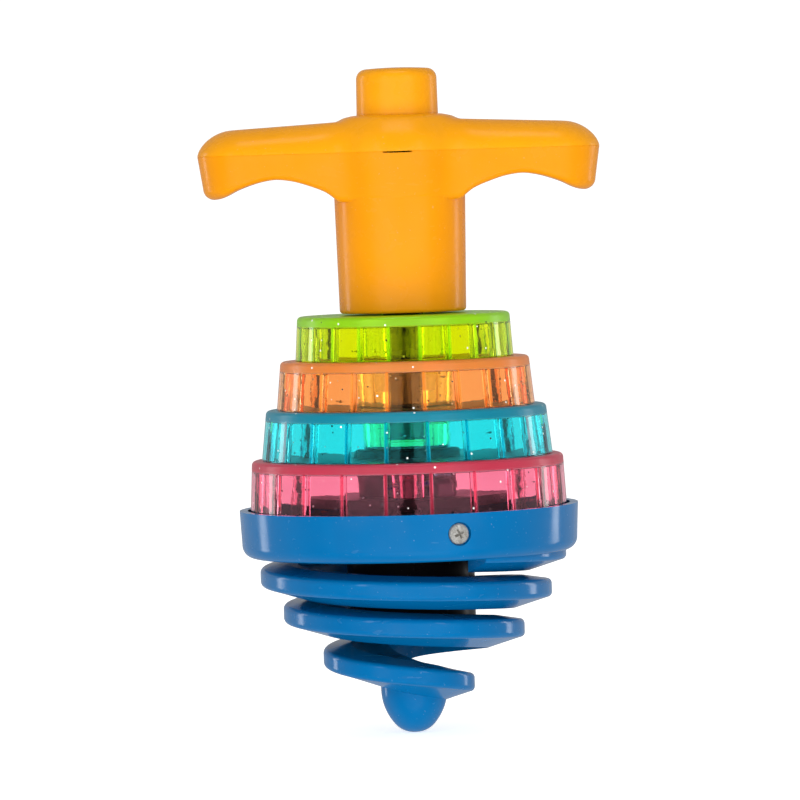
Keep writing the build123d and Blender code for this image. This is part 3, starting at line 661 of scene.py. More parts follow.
def all_finishes() -> dict[Slot, bpy.types.Material]:
    """Makes every finish.

    Returns:
        The material for each slot.
    """
    kinds = [
        MouldedPlastic(Slot.AMBER, (0.84, 0.335, 0.003), (0.80, 0.31, 0.002), 0.26, 0.03),
        MouldedPlastic(Slot.ORANGE, (0.80, 0.29, 0.002), (0.77, 0.27, 0.002), 0.24, 0.03),
        MouldedPlastic(Slot.BLUE, (0.0, 0.14, 0.37), (0.0, 0.128, 0.345), 0.15, 0.05, 0.35),
        MouldedPlastic(Slot.BLACK, (0.006, 0.004, 0.005), (0.004, 0.003, 0.004), 0.3, 0.05),
        MouldedPlastic(Slot.BLUE_WIRE, (0.02, 0.03, 0.42), (0.01, 0.02, 0.34), 0.4, 0.0),
        MouldedPlastic(Slot.DARK_WIRE, (0.03, 0.012, 0.02), (0.02, 0.008, 0.012), 0.4, 0.0),
        MouldedPlastic(Slot.LAMP, (0.16, 0.08, 0.14), (0.1, 0.05, 0.1), 0.12, 0.5),
        ClearPlastic(
            Slot.CLEAR_GREEN, tint=(0.84, 0.88, 0.03), painted_rim_tint=(0.38, 0.80, 0.004),
            depth_tint=(0.70, 0.95, 0.08), density=40, rim_low_z=86.1, wall_radius=22.9,
        ),
        ClearPlastic(
            Slot.CLEAR_ORANGE, tint=(0.995, 0.60, 0.32), painted_rim_tint=(0.99, 0.33, 0.06),
            depth_tint=(0.985, 0.72, 0.077), density=50, rim_low_z=76.8, wall_radius=27.1,
        ),
        ClearPlastic(
            Slot.CLEAR_TEAL, tint=(0.16, 0.88, 0.90), painted_rim_tint=(0.0, 0.33, 0.47),
            depth_tint=(0.09, 0.73, 0.82), density=70, rim_low_z=66.6, wall_radius=30.5,
        ),
        ClearPlastic(
            Slot.CLEAR_PINK, tint=(0.99, 0.50, 0.62), painted_rim_tint=(0.74, 0.06, 0.12),
            depth_tint=(0.82, 0.083, 0.25), density=50, rim_low_z=56.1, wall_radius=33.6,
        ),
        Metal(Slot.STEEL, (0.60, 0.59, 0.56), (0.42, 0.40, 0.36)),
        Metal(Slot.ZINC, (0.72, 0.71, 0.66), (0.50, 0.48, 0.40), 0.2),
        Metal(Slot.CELL_STEEL, (0.76, 0.76, 0.75), (0.58, 0.57, 0.54), 0.16),
        Metal(Slot.BRASS, (0.80, 0.60, 0.26), (0.55, 0.38, 0.16), 0.22),
        CircuitBoard(),
    ]
    return {kind.slot: kind.make() for kind in kinds}


def dress(piece: bpy.types.Object, finish: bpy.types.Material) -> None:
    """Gives a piece one finish all over, on the CAD nodes' own slots too."""
    if not piece.data.materials:
        piece.data.materials.append(finish)
    for number in range(len(piece.data.materials)):
        piece.data.materials[number] = finish


# ---------------------------------------------------------------- launcher
@dataclass(frozen=True)
class HandlePlan:
    """Handle seen from above: a round middle and two round-ended arms, blended together."""

    reach: float = 42.2
    half_depth: float = 10.0
    hub_radius: float = 15.2
    blend: float = 12.0

    @property
    def blend_x(self) -> float:
        """Where the blend's arc meets the arm's straight side."""
        return math.sqrt((self.hub_radius + self.blend) ** 2 - (self.half_depth + self.blend) ** 2)

    def rim(self) -> list[tuple[Flat, Flat]]:
        """Outline as (point, outward direction) pairs, counter-clockwise from the +X tip."""
        end_x, side_y = self.reach - self.half_depth, self.half_depth + self.blend
        quarter = [
            ((end_x + self.half_depth * c, self.half_depth * s), (c, s))
            for c, s in arc((0, 0), 1, 0, 90, 20)
        ]
        quarter += [
            ((end_x + (self.blend_x - end_x) * i / 20, self.half_depth), (0.0, 1.0)) for i in range(1, 20)
        ]
        turn = math.degrees(math.atan2(self.blend_x, side_y))
        quarter += [
            ((self.blend_x + self.blend * c, side_y + self.blend * s), (-c, -s))
            for c, s in arc((0, 0), 1, -90, -90 - turn, 12)
        ]
        quarter += [
            ((self.hub_radius * c, self.hub_radius * s), (c, s))
            for c, s in arc((0, 0), 1, 90 - turn, 90, 14)[1:]
        ]
        half = quarter + [((-x, y), (-a, b)) for (x, y), (a, b) in reversed(quarter[:-1])]
        return half + [((x, -y), (a, -b)) for (x, y), (a, b) in reversed(half[1:-1])]

    def inset(self, x: float, y: float) -> float:
        """Distance of an inner point from the outline."""
        x, y = abs(x), abs(y)
        end_x, side_y = self.reach - self.half_depth, self.half_depth + self.blend
        if x >= end_x:
            return self.half_depth - math.hypot(x - end_x, y)
        if x >= self.blend_x:
            return self.half_depth - y
        if (self.blend_x - x) * side_y <= (side_y - y) * self.blend_x:
            return math.hypot(x - self.blend_x, y - side_y) - self.blend
        return self.hub_radius - math.hypot(x, y)

    def shifted(self, inset: float, height: float) -> list[Point]:
        """Outline moved inwards by an inset, at one height."""
        return [(x - inset * a, y - inset * b, height) for (x, y), (a, b) in self.rim()]


def inside(polygon: Sequence[Flat], x: float, y: float) -> bool:
    """Whether a point lies in a polygon."""
    found = False
    for (x0, y0), (x1, y1) in zip(polygon, [*polygon[1:], polygon[0]]):
        if (y0 > y) != (y1 > y) and x < (x1 - x0) * (y - y0) / (y1 - y0) + x0:
            found = not found
    return found


def fill(
    skin: Skin,
    rim: Sequence[Flat],
    hole: Sequence[Flat],
    seeds: Sequence[Flat],
    height: Callable[[float, float], float],
) -> None:
    """Adds a curved sheet over a flat region.

    Args:
        skin: the skin that gets the sheet.
        rim: the region's outline.
        hole: the outline of a hole in it, or nothing.
        seeds: points inside the region.
        height: gives the sheet's height at a point.
    """
    points = [Vector(p) for p in (*rim, *hole, *seeds)]
    count, inner = len(rim), len(hole)
    edges = [(i, (i + 1) % count) for i in range(count)]
    edges += [(count + i, count + (i + 1) % inner) for i in range(inner)]
    made, _, faces, *_ = delaunay_2d_cdt(points, edges, [], 0, 1e-6)
    numbers = skin.ring((p.x, p.y, height(p.x, p.y)) for p in made)
    for face in faces:
        x = sum(made[i].x for i in face) / 3
        y = sum(made[i].y for i in face) / 3
        if inside(rim, x, y) and not (inner and inside(hole, x, y)):
            skin.faces.append(tuple(numbers[i] for i in face))


def hex_grid(width: float, depth: float, step: float) -> list[Flat]:
    """Points of a triangular grid over a rectangle about the origin."""
    rows = int(depth / (step * 0.866))
    columns = int(width / step)
    return [
        ((i + 0.5 * (j % 2)) * step, j * step * 0.866)
        for j in range(-rows, rows + 1)
        for i in range(-columns, columns + 1)
    ]


@dataclass
class HandleCover:
    """Upper shell: sloping ridge with full-round sides and a raised boss round the button."""

    plan: HandlePlan = field(default_factory=HandlePlan)
    parting_z: float = 122.2
    ridge_z: float = 128.65
    ridge_flat: float = 13.2
    ridge_fall: float = 0.048
    arm_round: float = 7.3
    hub_round: float = 5.0
    fullness: float = 0.62
    boss_knots: tuple[Flat, ...] = (
        (8.8, 1.25), (9.4, 1.22), (10.8, 0.93), (11.5, 0.74), (12.3, 0.34), (13.0, 0.08), (13.7, 0.0),
    )
    boss_seeds: tuple[float, ...] = (8.83, 8.88, 8.95, 9.1, 9.5, 10.0, 10.5, 10.9, 11.3, 11.7)
    boss_end: float = 12.1
    hole_radius: float = 8.8
    hole_edge: float = 0.3
    gate_rise: float = 1.65
    gate_radius: float = 0.4
    seam: float = 0.06
    cavity_radius: float = 10.9
    cavity_z: float = 126.9
    insets: tuple[float, ...] = (
        0.0, 0.01, 0.03, 0.07, 0.13, 0.22, 0.34, 0.5, 0.72, 1.0, 1.35, 1.8, 2.35, 3.0,
    )

    def height(self, x: float, y: float) -> float:
        """Height of the cover's top at a point, worked out from its distance from the outline."""
        along = abs(x)
        depth = self.hub_round + (self.arm_round - self.hub_round) * ease(along, 9, 19)
        share = min(max(self.plan.inset(x, y), 0.0) / depth, 1.0)
        crown = (1 - (1 - share) ** 2) ** self.fullness
        ridge = self.ridge_z - self.ridge_fall * max(along - self.ridge_flat, 0)
        radius = math.hypot(x, y)
        lift = curve_through(self.boss_knots, radius)
        edge = max(self.hole_radius + self.hole_edge - radius, 0) / self.hole_edge
        lift -= self.hole_edge * (1 - math.sqrt(max(1 - min(edge, 1) ** 2, 0)))
        return self.parting_z + (ridge + lift - self.parting_z) * crown

    def build(self) -> bpy.types.Object:
        """Builds the cover.

        Returns:
            The cover, not yet dressed.
        """
        skin = Skin()
        foot = skin.ring(self.plan.shifted(self.seam, self.parting_z))
        rings = [foot]
        for inset in self.insets:
            ring = self.plan.shifted(inset, 0)
            lifted = [(x, y, max(self.height(x, y), self.parting_z + self.seam)) for x, y, _ in ring]
            rings.append(skin.ring(lifted))
        skin.stack(rings)
        sides = 96
        hole = [polar(360 * i / sides, self.hole_radius, 0)[:2] for i in range(sides)]
        rim = [(x, y) for x, y, _ in self.plan.shifted(self.insets[-1], 0)]
        seeds = []
        for radius in self.boss_seeds:
            seeds += [polar(360 * (i + 0.5) / sides, radius, 0)[:2] for i in range(sides)]
        limit = self.insets[-1] + 0.35
        seeds += [
            (x, y) for x, y in hex_grid(40, 12, 0.55)
            if self.plan.inset(x, y) > limit and math.hypot(x, y) > self.boss_end
        ]
        fill(skin, rim, hole, seeds, self.height)
        low_hole = skin.ring((x, y, self.parting_z) for x, y in hole)
        high_hole = skin.ring((x, y, self.height(x, y)) for x, y in hole)
        skin.bridge(low_hole, high_hole)
        bottom = [(x, y) for x, y, _ in self.plan.shifted(self.seam, 0)]
        fill(skin, bottom, hole, [], lambda x, y: self.parting_z)
        cover = skin.to_object("cover_shell")
        cavity = [(0.0, self.parting_z - 1), (self.cavity_radius, self.parting_z - 1)]
        cavity += [(self.cavity_radius, self.cavity_z), (0.0, self.cavity_z)]
        combine(cover, lathe("flange_room", cavity, 96, closed=False), Join.CUT)
        self.add_gate(cover)
        smooth(cover, 38)
        return settle(cover, Body.LAUNCHER, Slot.AMBER, ["handle_cover"])

    def add_gate(self, cover: bpy.types.Object) -> None:
        """Adds the small nub that the mould's gate leaves on the front."""
        height = (self.parting_z + self.gate_rise) * MM
        found, spot, _, _ = cover.ray_cast(Vector((0, -0.05, height)), Vector((0, 1, 0)))
        if not found:
            log.warning("%s: no face for the gate's nub", cover.name)
            return
        dome = [(0.0, -0.3), *arc((0.0, -0.1), self.gate_radius, 0, 90, 6)[:-1]]
        dome += [(0.0, self.gate_radius - 0.1)]
        nub = lathe("gate_nub", dome, 24, closed=False)
        combine(cover, put(nub, Matrix.Translation(spot) @ turned_by(90, "X")), Join.ADD)


@dataclass
class HandleShell:
    """Lower shell: arms with scooped finger recesses and hooked ends, and the tube."""

    plan: HandlePlan = field(default_factory=HandlePlan)
    parting_z: float = 122.2
    draft: float = 8.5
    under: tuple[Flat, ...] = (
        (0.0, 111.9), (12.6, 111.9), (13.6, 112.7), (15.5, 114.1),
        (18.9, 115.5), (22.4, 116.55), (25.9, 116.95),
        (28.7, 116.6), (31.3, 115.9), (34.0, 114.9), (36.3, 113.75), (38.1, 113.2), (42.2, 113.0),
    )
    side_round: float = 1.5
    end_round: float = 2.4
    seam: float = 0.06
    wall: float = 1.9
    hollow_z: float = 118.9
    well_radius: float = 11.4
    tube_top: Flat = (13.75, 112.5)
    tube_foot: Flat = (13.3, 88.5)
    web: Flat = (114.0, 117.0)
    bearing_radius: float = 3.65
    gap: Flat = (-3.2, 2.8)
    gap_depth: Flat = (-17.0, -13.0)
    gap_height: float = 0.3
    screw_x: float = 25.9
    post: tuple[Flat, ...] = ((0.0, 117.2), (3.6, 117.2), (3.6, 122.15), (0.0, 122.15))
    bore: tuple[Flat, ...] = (
        (0.0, 111.0), (3.2, 111.0), (3.2, 116.0), (2.5, 117.2),
        (2.5, 119.2), (1.55, 119.2), (1.55, 123), (0.0, 123),
    )

    def under_height(self, x: float) -> float:
        """Height of the underside's curve."""
        return curve_through(self.under, abs(x))

    def arms(self) -> bpy.types.Object:
        """Builds the solid arms and hub.

        Returns:
            Their closed mesh.
        """
        slope = math.tan(math.radians(self.draft))
        feet = []
        for (x, y), (a, b) in self.plan.rim():
            inset = 2.0
            for _ in range(4):
                low = self.under_height(x - inset * a)
                bend = self.side_round + (self.end_round - self.side_round) * ease(abs(x), 36, 41)
                inset = (self.parting_z - low - bend) * slope + bend
            feet.append((x, y, a, b, low, bend, inset))
        skin = Skin()
        rings = [skin.ring(self.plan.shifted(self.seam, self.parting_z))]
        rings.append(skin.ring(self.plan.shifted(0.0, self.parting_z - self.seam)))
        for share in (0.25, 0.5, 0.75, 1.0):
            rings.append(skin.ring(
                (x - a * (inset - bend) * share, y - b * (inset - bend) * share,
                 self.parting_z - self.seam + (low + bend - self.parting_z + self.seam) * share)
                for x, y, a, b, low, bend, inset in feet
            ))
        for step in range(1, 9):
            lean = math.radians(90 * step / 8)
            rings.append(skin.ring(
                (x - a * (inset - bend * math.cos(lean)), y - b * (inset - bend * math.cos(lean)),
                 low + bend * (1 - math.sin(lean)))
                for x, y, a, b, low, bend, inset in feet
            ))
        skin.stack(rings)
        skin.cap(rings[0])
        rim = [(x - a * inset, y - b * inset) for x, y, a, b, _, _, inset in feet]
        for number, (x, y) in zip(rings[-1], rim):
            skin.points[number] = (x, y, self.under_height(x))
        seeds = [
            (x, y) for x, y in hex_grid(42, 14, 0.7)
            if inside(rim, x, y) and self.plan.inset(x, y) > self.end_round + 0.9
        ]
        fill(skin, rim, [], seeds, lambda x, y: self.under_height(x))
        return skin.to_object("handle_shell")

    def tube(self) -> bpy.types.Object:
        """Builds the tube with its bearing web.

        Returns:
            The tube's closed mesh.
        """
        (top_radius, top_z), (foot_radius, foot_z) = self.tube_top, self.tube_foot
        low, high = self.web
        profile = [(self.well_radius, low), (self.well_radius, foot_z + 0.3)]
        profile += [(self.well_radius + 0.3, foot_z)]
        profile += arc((foot_radius - 0.7, foot_z + 0.7), 0.7, -90, -2, 6)
        profile += line((foot_radius, foot_z + 0.9), (top_radius, top_z), 8)
        profile += [(top_radius, high), (self.bearing_radius, high), (self.bearing_radius, low)]
        return lathe("handle_tube", profile, 160)

    def build(self) -> bpy.types.Object:
        """Builds the shell.

        Returns:
            The shell, not yet dressed.
        """
        shell = self.arms()
        hollow = Skin()
        floor = hollow.ring(self.plan.shifted(self.wall + 0.5, self.hollow_z))
        mouth = hollow.ring(self.plan.shifted(self.wall, self.parting_z + 0.5))
        hollow.bridge(floor, mouth)
        hollow.cap(floor)
        hollow.cap(mouth)
        combine(shell, hollow.to_object("arm_hollow"), Join.CUT)
        well_top = self.hollow_z + 1
        well = [(0.0, 110.0), (self.well_radius, 110.0), (self.well_radius, well_top), (0.0, well_top)]
        combine(shell, lathe("hub_well", well, 128, closed=False), Join.CUT)
        combine(shell, self.tube(), Join.ADD)
        for side in (-1, 1):
            place = moved(side * self.screw_x)
            combine(shell, put(lathe("screw_post", self.post, 48, closed=False), place), Join.ADD)
            combine(shell, put(lathe("screw_bore", self.bore, 48, closed=False), place), Join.CUT)
        left, right = self.gap
        front, back = self.gap_depth
        notch = [(left, front), (right, front), (right, back), (left, back)]
        tool = prism("parting_gap", notch, self.parting_z - self.gap_height, self.parting_z + 1)
        combine(shell, tool, Join.CUT)
        smooth(shell, 32)
        return settle(shell, Body.LAUNCHER, Slot.ORANGE, ["handle_body"])


@dataclass
class ReleaseButton:
    """Hollow button with a slightly domed top and a flange that keeps it in the cover."""

    radius: float = 8.6
    top_z: float = 139.8
    edge: float = 2.1
    crown: float = 0.25
    flange_radius: float = 10.4
    flange: Flat = (125.3, 126.9)
    bore: float = 6.9
    ceiling_z: float = 137.8

    def build(self) -> bpy.types.Object:
        """Builds the button.

        Returns:
            The button, not yet dressed.
        """
        top_radius = self.radius - 0.15
        shoulder = self.top_z - self.crown - self.edge
        profile = [(self.bore, self.flange[0]), (self.flange_radius - 0.2, self.flange[0])]
        profile += [(self.flange_radius, self.flange[0] + 0.2), (self.flange_radius, self.flange[1] - 0.2)]
        profile += [(self.flange_radius - 0.2, self.flange[1]), (self.radius + 0.15, self.flange[1])]
        side_z = self.flange[1] + 0.15
        profile += [(self.radius, side_z), *line((self.radius, side_z), (top_radius, shoulder), 6)[:-1]]
        profile += arc((top_radius - self.edge, shoulder), self.edge, 0, 87, 12)
        flat = top_radius - self.edge
        profile += [(flat * (1 - i / 6), self.top_z - self.crown * (1 - i / 6) ** 2) for i in range(1, 6)]
        skin = Skin()
        sides = 128
        rings = [skin.circle(radius, height, sides) for radius, height in profile]
        peak = skin.ring([(0, 0, self.top_z)])
        skin.stack(rings)
        skin.faces += [(rings[-1][i], rings[-1][(i + 1) % sides], peak[0]) for i in range(sides)]
        inner = [(self.bore, self.ceiling_z - 0.4), (self.bore - 0.4, self.ceiling_z)]
        inside_rings = [skin.circle(radius, height, sides) for radius, height in inner]
        skin.stack([rings[0], *inside_rings])
        skin.cap(inside_rings[-1])
        button = skin.to_object("button_shell")
        post = lathe("rod_socket", [(1.53, 130.8), (3.4, 130.8), (3.4, 138.0), (1.53, 138.0)], 48)
        combine(button, post, Join.ADD)
        smooth(button, 32)
        return settle(button, Body.BUTTON, Slot.AMBER, ["release_button"])


@dataclass
class ButtonSpring:
    """Coil spring between the bearing web and the button."""

    radius: float = 5.3
    wire: float = 0.9
    turns: int = 7
    low: float = 117.0
    high: float = 137.8
    travel: float = 4.0
    shrink: float = 0.98

    def build(self) -> bpy.types.Object:
        """Builds the spring.

        Returns:
            The spring, not yet dressed.
        """
        skin = Skin()
        steps, sides = 40 * self.turns, 12
        loop = [polar(360 * i / sides, 1, 0)[:2] for i in range(sides)]
        rise = self.high - self.low - self.wire
        lean = math.atan2(rise / self.turns, 2 * math.pi * self.radius)
        thick = self.wire / 2 * self.shrink
        rings = []
        for step in range(steps + 1):
            turn = 2 * math.pi * self.turns * step / steps
            out = Vector((math.cos(turn), math.sin(turn), 0))
            up = Vector((math.sin(turn) * math.sin(lean), -math.cos(turn) * math.sin(lean), math.cos(lean)))
            heart = out * self.radius + Vector((0, 0, self.low + self.wire / 2 + rise * step / steps))
            rings.append(skin.ring(heart + (out * a + up * b) * thick for a, b in loop))
        skin.stack(rings)
        skin.cap(rings[0])
        skin.cap(rings[-1])
        coil = skin.to_object("button_coil")
        smooth(coil, 40)
        settle(coil, Body.LAUNCHER, Slot.STEEL, ["button_spring"])
        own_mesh(coil)
        return coil


# ---------------------------------------------------------------- top
@dataclass
class ClearTier:
    """One see-through drum: drafted outside, flat windows inside, tabs into the tier below."""

    name: str
    slot: Slot
    top_z: float
    low_z: float
    top_radius: float
    low_radius: float
    hole_radius: float
    upper_tab_middle: float = 0.0
    has_tabs: bool = True
    windows: int = 22
    rib_width: float = 0.8
    rib_depth: float = 1.0
    plate: float = 2.0
    wall: float = 1.3
    edge: float = 0.9
    tab_width: float = 3.6
    tab_depth: float = 1.2
    tab_drop: float = 2.8
    tab_angle: float = 284.0
    tab_gap: float = 0.15
    rim_gap: float = 0.04

    @property
    def half_window(self) -> float:
        """Half the angle of one window, in radians."""
        return math.pi / self.windows

    def stations(self) -> list[tuple[float, bool]]:
        """Angles of one window's points from its first corner, and whether each lies on a rib."""
        width = 2 * self.half_window
        crest = self.rib_width / 2 / self.low_radius
        foot = crest + 0.15 / self.low_radius
        inner = [(foot + (width - 2 * foot) * i / 6, False) for i in range(7)]
        return [(0.0, True), (crest, True), *inner, (width - crest, True)]

    def turned(self, radius: float, height: float, share: float) -> list[Point]:
        """One ring of the drum.

        Args:
            radius: distance of the windows' corners from the axis.
            height: the ring's height.
            share: 0 for a circle, 1 for flat windows with ribs between them, or between.

        Returns:
            The ring's points.
        """
        points = []
        for window in range(self.windows):
            first = -math.pi / 2 + self.half_window * (2 * window + 1)
            for off, on_rib in self.stations():
                flat = math.cos(self.half_window) / math.cos(off - self.half_window)
                reach = radius * (1 + share * (flat - 1)) - (share * self.rib_depth if on_rib else 0)
                points.append((reach * math.cos(first + off), reach * math.sin(first + off), height))
        return points

    def rings(self) -> list[tuple[float, float, float]]:
        """Profile as (radius, height, share of flatness), from the hole over the outside to the inside."""
        plate_z = self.top_z - self.plate
        low = self.low_z + self.rim_gap
        slope = (self.low_radius - self.top_radius) / (self.top_z - self.low_z)
        shoulder = self.top_z - self.edge
        side = self.top_radius + slope * self.edge
        profile = [(self.hole_radius, plate_z, 0), (self.hole_radius, self.top_z - 0.15, 0)]
        profile += [(self.hole_radius + 0.15, self.top_z, 0)]
        middle = self.hole_radius + 0.4 * (self.top_radius - self.hole_radius)
        profile += [(middle, self.top_z, 0)]
        profile += [(r, z, 0) for r, z in arc((side - self.edge, shoulder), self.edge, 90, 0, 12)]
        profile += [(r, z, 0) for r, z in line((side, shoulder), (self.low_radius, low + 0.2), 5)]
        profile += [(self.low_radius - 0.06, low + 0.06, 0), (self.low_radius - 0.2, low, 0)]
        inner = self.low_radius - self.wall
        profile += [(inner + 0.12, low, 1), (inner, low + 0.12, 1)]
        pocket = self.top_radius + slope * self.plate - self.wall
        curve = 0.5
        profile += [(r, z, 1) for r, z in line((inner, low + 0.12), (pocket, plate_z - curve), 4)]
        profile += [(r, z, 1) for r, z in arc((pocket - curve, plate_z - curve), curve, 0, 90, 6)[1:]]
        profile += [(self.hole_radius + 0.6 * (pocket - self.hole_radius), plate_z, 0)]
        return profile

    def tabs(self, middle: float, low: float, high: float, gap: float) -> list[bpy.types.Object]:
        """Makes the three tabs of a tier, or the tools for their slots.

        Args:
            middle: the tabs' distance from the axis.
            low, high: their ends.
            gap: how much larger than the tab each side is.

        Returns:
            Three closed blocks.
        """
        half_depth, half_width = self.tab_depth / 2 + gap, self.tab_width / 2 + gap
        corner = 0.35
        outline = []
        for x, y, start in ((1, 1, 0), (-1, 1, 90), (-1, -1, 180), (1, -1, 270)):
            middle_of_corner = (x * (half_depth - corner), y * (half_width - corner))
            outline += arc(middle_of_corner, corner, start, start + 90, 4)
        blocks = []
        for step in THIRDS:
            block = prism("tab", outline, low, high)
            blocks.append(put(block, turned_by(self.tab_angle + step) @ moved(middle)))
        return blocks

    def shell(self) -> bpy.types.Object:
        """Builds the drum without what is added to it."""
        skin = Skin()
        rings = [skin.ring(self.turned(radius, height, share)) for radius, height, share in self.rings()]
        skin.stack(rings, loop=True)
        return skin.to_object(f"{self.name}_drum")

    def extras(self, drum: bpy.types.Object) -> None:
        """Adds what only one tier has."""

    def build(self) -> bpy.types.Object:
        """Builds the tier.

        Returns:
            The tier, not yet dressed.
        """
        drum = self.shell()
        if self.upper_tab_middle:
            low = self.top_z - self.plate - 0.5
            for tool in self.tabs(self.upper_tab_middle, low, self.top_z + 0.5, self.tab_gap):
                combine(drum, tool, Join.CUT)
        if self.has_tabs:
            middle = self.low_radius - self.wall / 2 - 0.1
            for block in self.tabs(middle, self.low_z - self.tab_drop, self.low_z + 0.4, 0.0):
                combine(drum, block, Join.ADD)
        self.extras(drum)
        smooth(drum, 11)
        return settle(drum, Body.TOP, self.slot, [f"{self.name}_tier"])


@dataclass
class GreenTier(ClearTier):
    """Top tier, with the tube whose hexagonal socket takes the launcher's drive."""

    tube_radius: float = 8.7
    tube_end_z: float = 59.8
    bore_radius: float = 4.6
    hex_flats: float = 7.2
    hex_top_z: float = 72.0
    floor_z: float = 61.3

    def extras(self, drum: bpy.types.Object) -> None:
        """Adds the socket tube and cuts its bore and hexagon."""
        top = self.top_z - 0.6
        profile = [(0.0, self.tube_end_z), (self.tube_radius - 0.3, self.tube_end_z)]
        profile += [(self.tube_radius, self.tube_end_z + 0.3), (self.tube_radius, top), (0.0, top)]
        combine(drum, lathe("socket_tube", profile, 96, closed=False), Join.ADD)
        bore = [(0.0, self.hex_top_z), (self.bore_radius, self.hex_top_z)]
        bore += [(self.bore_radius, self.top_z - 0.3)]
        bore += [(self.bore_radius + 0.5, self.top_z + 0.2), (0.0, self.top_z + 0.2)]
        combine(drum, lathe("socket_bore", bore, 96, closed=False), Join.CUT)
        reach = self.hex_flats / 2 / math.cos(math.pi / 6)
        outline = [polar(60 * i, reach, 0)[:2] for i in range(6)]
        combine(drum, prism("socket_hex", outline, self.floor_z, self.hex_top_z + 0.3), Join.CUT)


@dataclass
class PinkTier(ClearTier):
    """Lowest tier, with lugs behind the base's screws and posts over the housing's flange."""

    has_tabs: bool = False
    screw_angle: float = 286.8
    screw_z: float = 43.5
    lug_reach: Flat = (27.4, 32.4)
    lug_width: float = 6.0
    lug_heights: Flat = (40.7, 46.4)
    lug_bore: tuple[Flat, ...] = ((0.0, 26.6), (1.23, 26.6), (1.23, 34.6), (0.0, 34.6))
    post_circle: float = 16.4
    post_radius: float = 2.5
    flange_z: float = 50.0

    def extras(self, drum: bpy.types.Object) -> None:
        """Adds the lugs and posts, and bores their screw holes."""
        front, back = self.lug_reach
        half = self.lug_width / 2
        outline = [(front, -half), (back, -half), (back, half), (front, half)]
        low, high = self.flange_z + 0.03, self.top_z - self.plate + 0.5
        post = [(0.0, low), (self.post_radius - 0.2, low), (self.post_radius, low + 0.2)]
        post += [(self.post_radius + 0.15, high), (0.0, high)]
        hole = [(0.0, low - 0.5), (1.03, low - 0.5), (1.03, low + 5.5), (0.0, low + 5.8)]
        for step in THIRDS:
            turn = turned_by(self.screw_angle + step)
            combine(drum, put(prism("lug", outline, *self.lug_heights), turn), Join.ADD)
            bore = lathe("lug_bore", self.lug_bore, 32, closed=False)
            combine(drum, put(bore, turn @ moved(0, 0, self.screw_z) @ turned_by(90, "Y")), Join.CUT)
            there = moved(*polar(30 + step, self.post_circle, 0))
            combine(drum, put(lathe("post", post, 48, closed=False), there), Join.ADD)
            combine(drum, put(lathe("post_bore", hole, 32, closed=False), there), Join.CUT)


@dataclass
class BaseScrews:
    """Three cross-recess screws round the base, heads outwards."""

    angle: float = 286.8
    height: float = 43.5
    seat: float = 34.35
    head_radius: float = 2.15
    head_height: float = 1.05
    shank_radius: float = 1.2
    shank_length: float = 6.4
    threads: int = 9
    cross_turn: float = 25.0

    def one(self) -> bpy.types.Object:
        """Builds one screw, head up, its head's underside at the origin."""
        dome = arc((0.0, self.head_height - 3.3), 3.3, 62, 90, 8)[:-1]
        tip = -self.shank_length
        profile = [(0.0, tip), (0.4, tip), (self.shank_radius, tip + 1.6)]
        for i in range(self.threads):
            low = tip + 1.8 + i * (self.shank_length - 2.0) / self.threads
            profile += [(self.shank_radius, low), (self.shank_radius - 0.25, low + 0.22)]
        profile += [(self.shank_radius, 0.0), (self.head_radius - 0.15, 0.0), (self.head_radius, 0.15)]
        profile += [(self.head_radius, 0.35)] + [(r * 1.24, z) for r, z in dome] + [(0.0, self.head_height)]
        screw = lathe("one_screw", profile, 48, closed=False)
        for turn in (0, 90):
            bar = prism("cross", [(-1.35, -0.3), (1.35, -0.3), (1.35, 0.3), (-1.35, 0.3)], 0.15, 1.3, 0.45)
            combine(screw, put(bar, turned_by(self.cross_turn + turn)), Join.CUT)
        return screw

    def build(self) -> bpy.types.Object:
        """Builds the three screws.

        Returns:
            The screws as one piece, not yet dressed.
        """
        screws = []
        for step in THIRDS:
            seat = moved(self.seat, 0, self.height) @ turned_by(90, "Y")
            screws.append(put(self.one(), turned_by(self.angle + step) @ seat))
        made = merge("base_screws", screws)
        smooth(made, 30)
        return settle(made, Body.TOP, Slot.STEEL, ["body_screws"])


# ---------------------------------------------------------------- surroundings
@dataclass(frozen=True)
class RoomLight:
    """What one kind of ray meets outside: a room that is darker at the front than at the back."""

    ray: str
    fade: Flat
    levels: Flat

    def over(
        self, tree: bpy.types.NodeTree, before: bpy.types.Node, kind: bpy.types.Node, apart: bpy.types.Node
    ) -> bpy.types.Node:
        """Lays this light over another for its own kind of ray.

        Args:
            tree: the world's nodes.
            before: the node that other rays meet.
            kind: the light path node.
            apart: the node that gives a direction's parts.

        Returns:
            The node that holds both.
        """
        fade = tree.nodes.new("ShaderNodeMapRange")
        fade.interpolation_type = "SMOOTHSTEP"
        for key, number in zip(("From Min", "From Max", "To Min", "To Max"), (*self.fade, *self.levels)):
            fade.inputs[key].default_value = number
        room = tree.nodes.new("ShaderNodeBackground")
        room.inputs["Color"].default_value = (1, 1, 1, 1)
        both = tree.nodes.new("ShaderNodeMixShader")
        tree.links.new(apart.outputs["Y"], fade.inputs["Value"])
        tree.links.new(fade.outputs["Result"], room.inputs["Strength"])
        tree.links.new(kind.outputs[self.ray], both.inputs["Fac"])
        tree.links.new(before.outputs[0], both.inputs[1])
        tree.links.new(room.outputs[0], both.inputs[2])
        return both


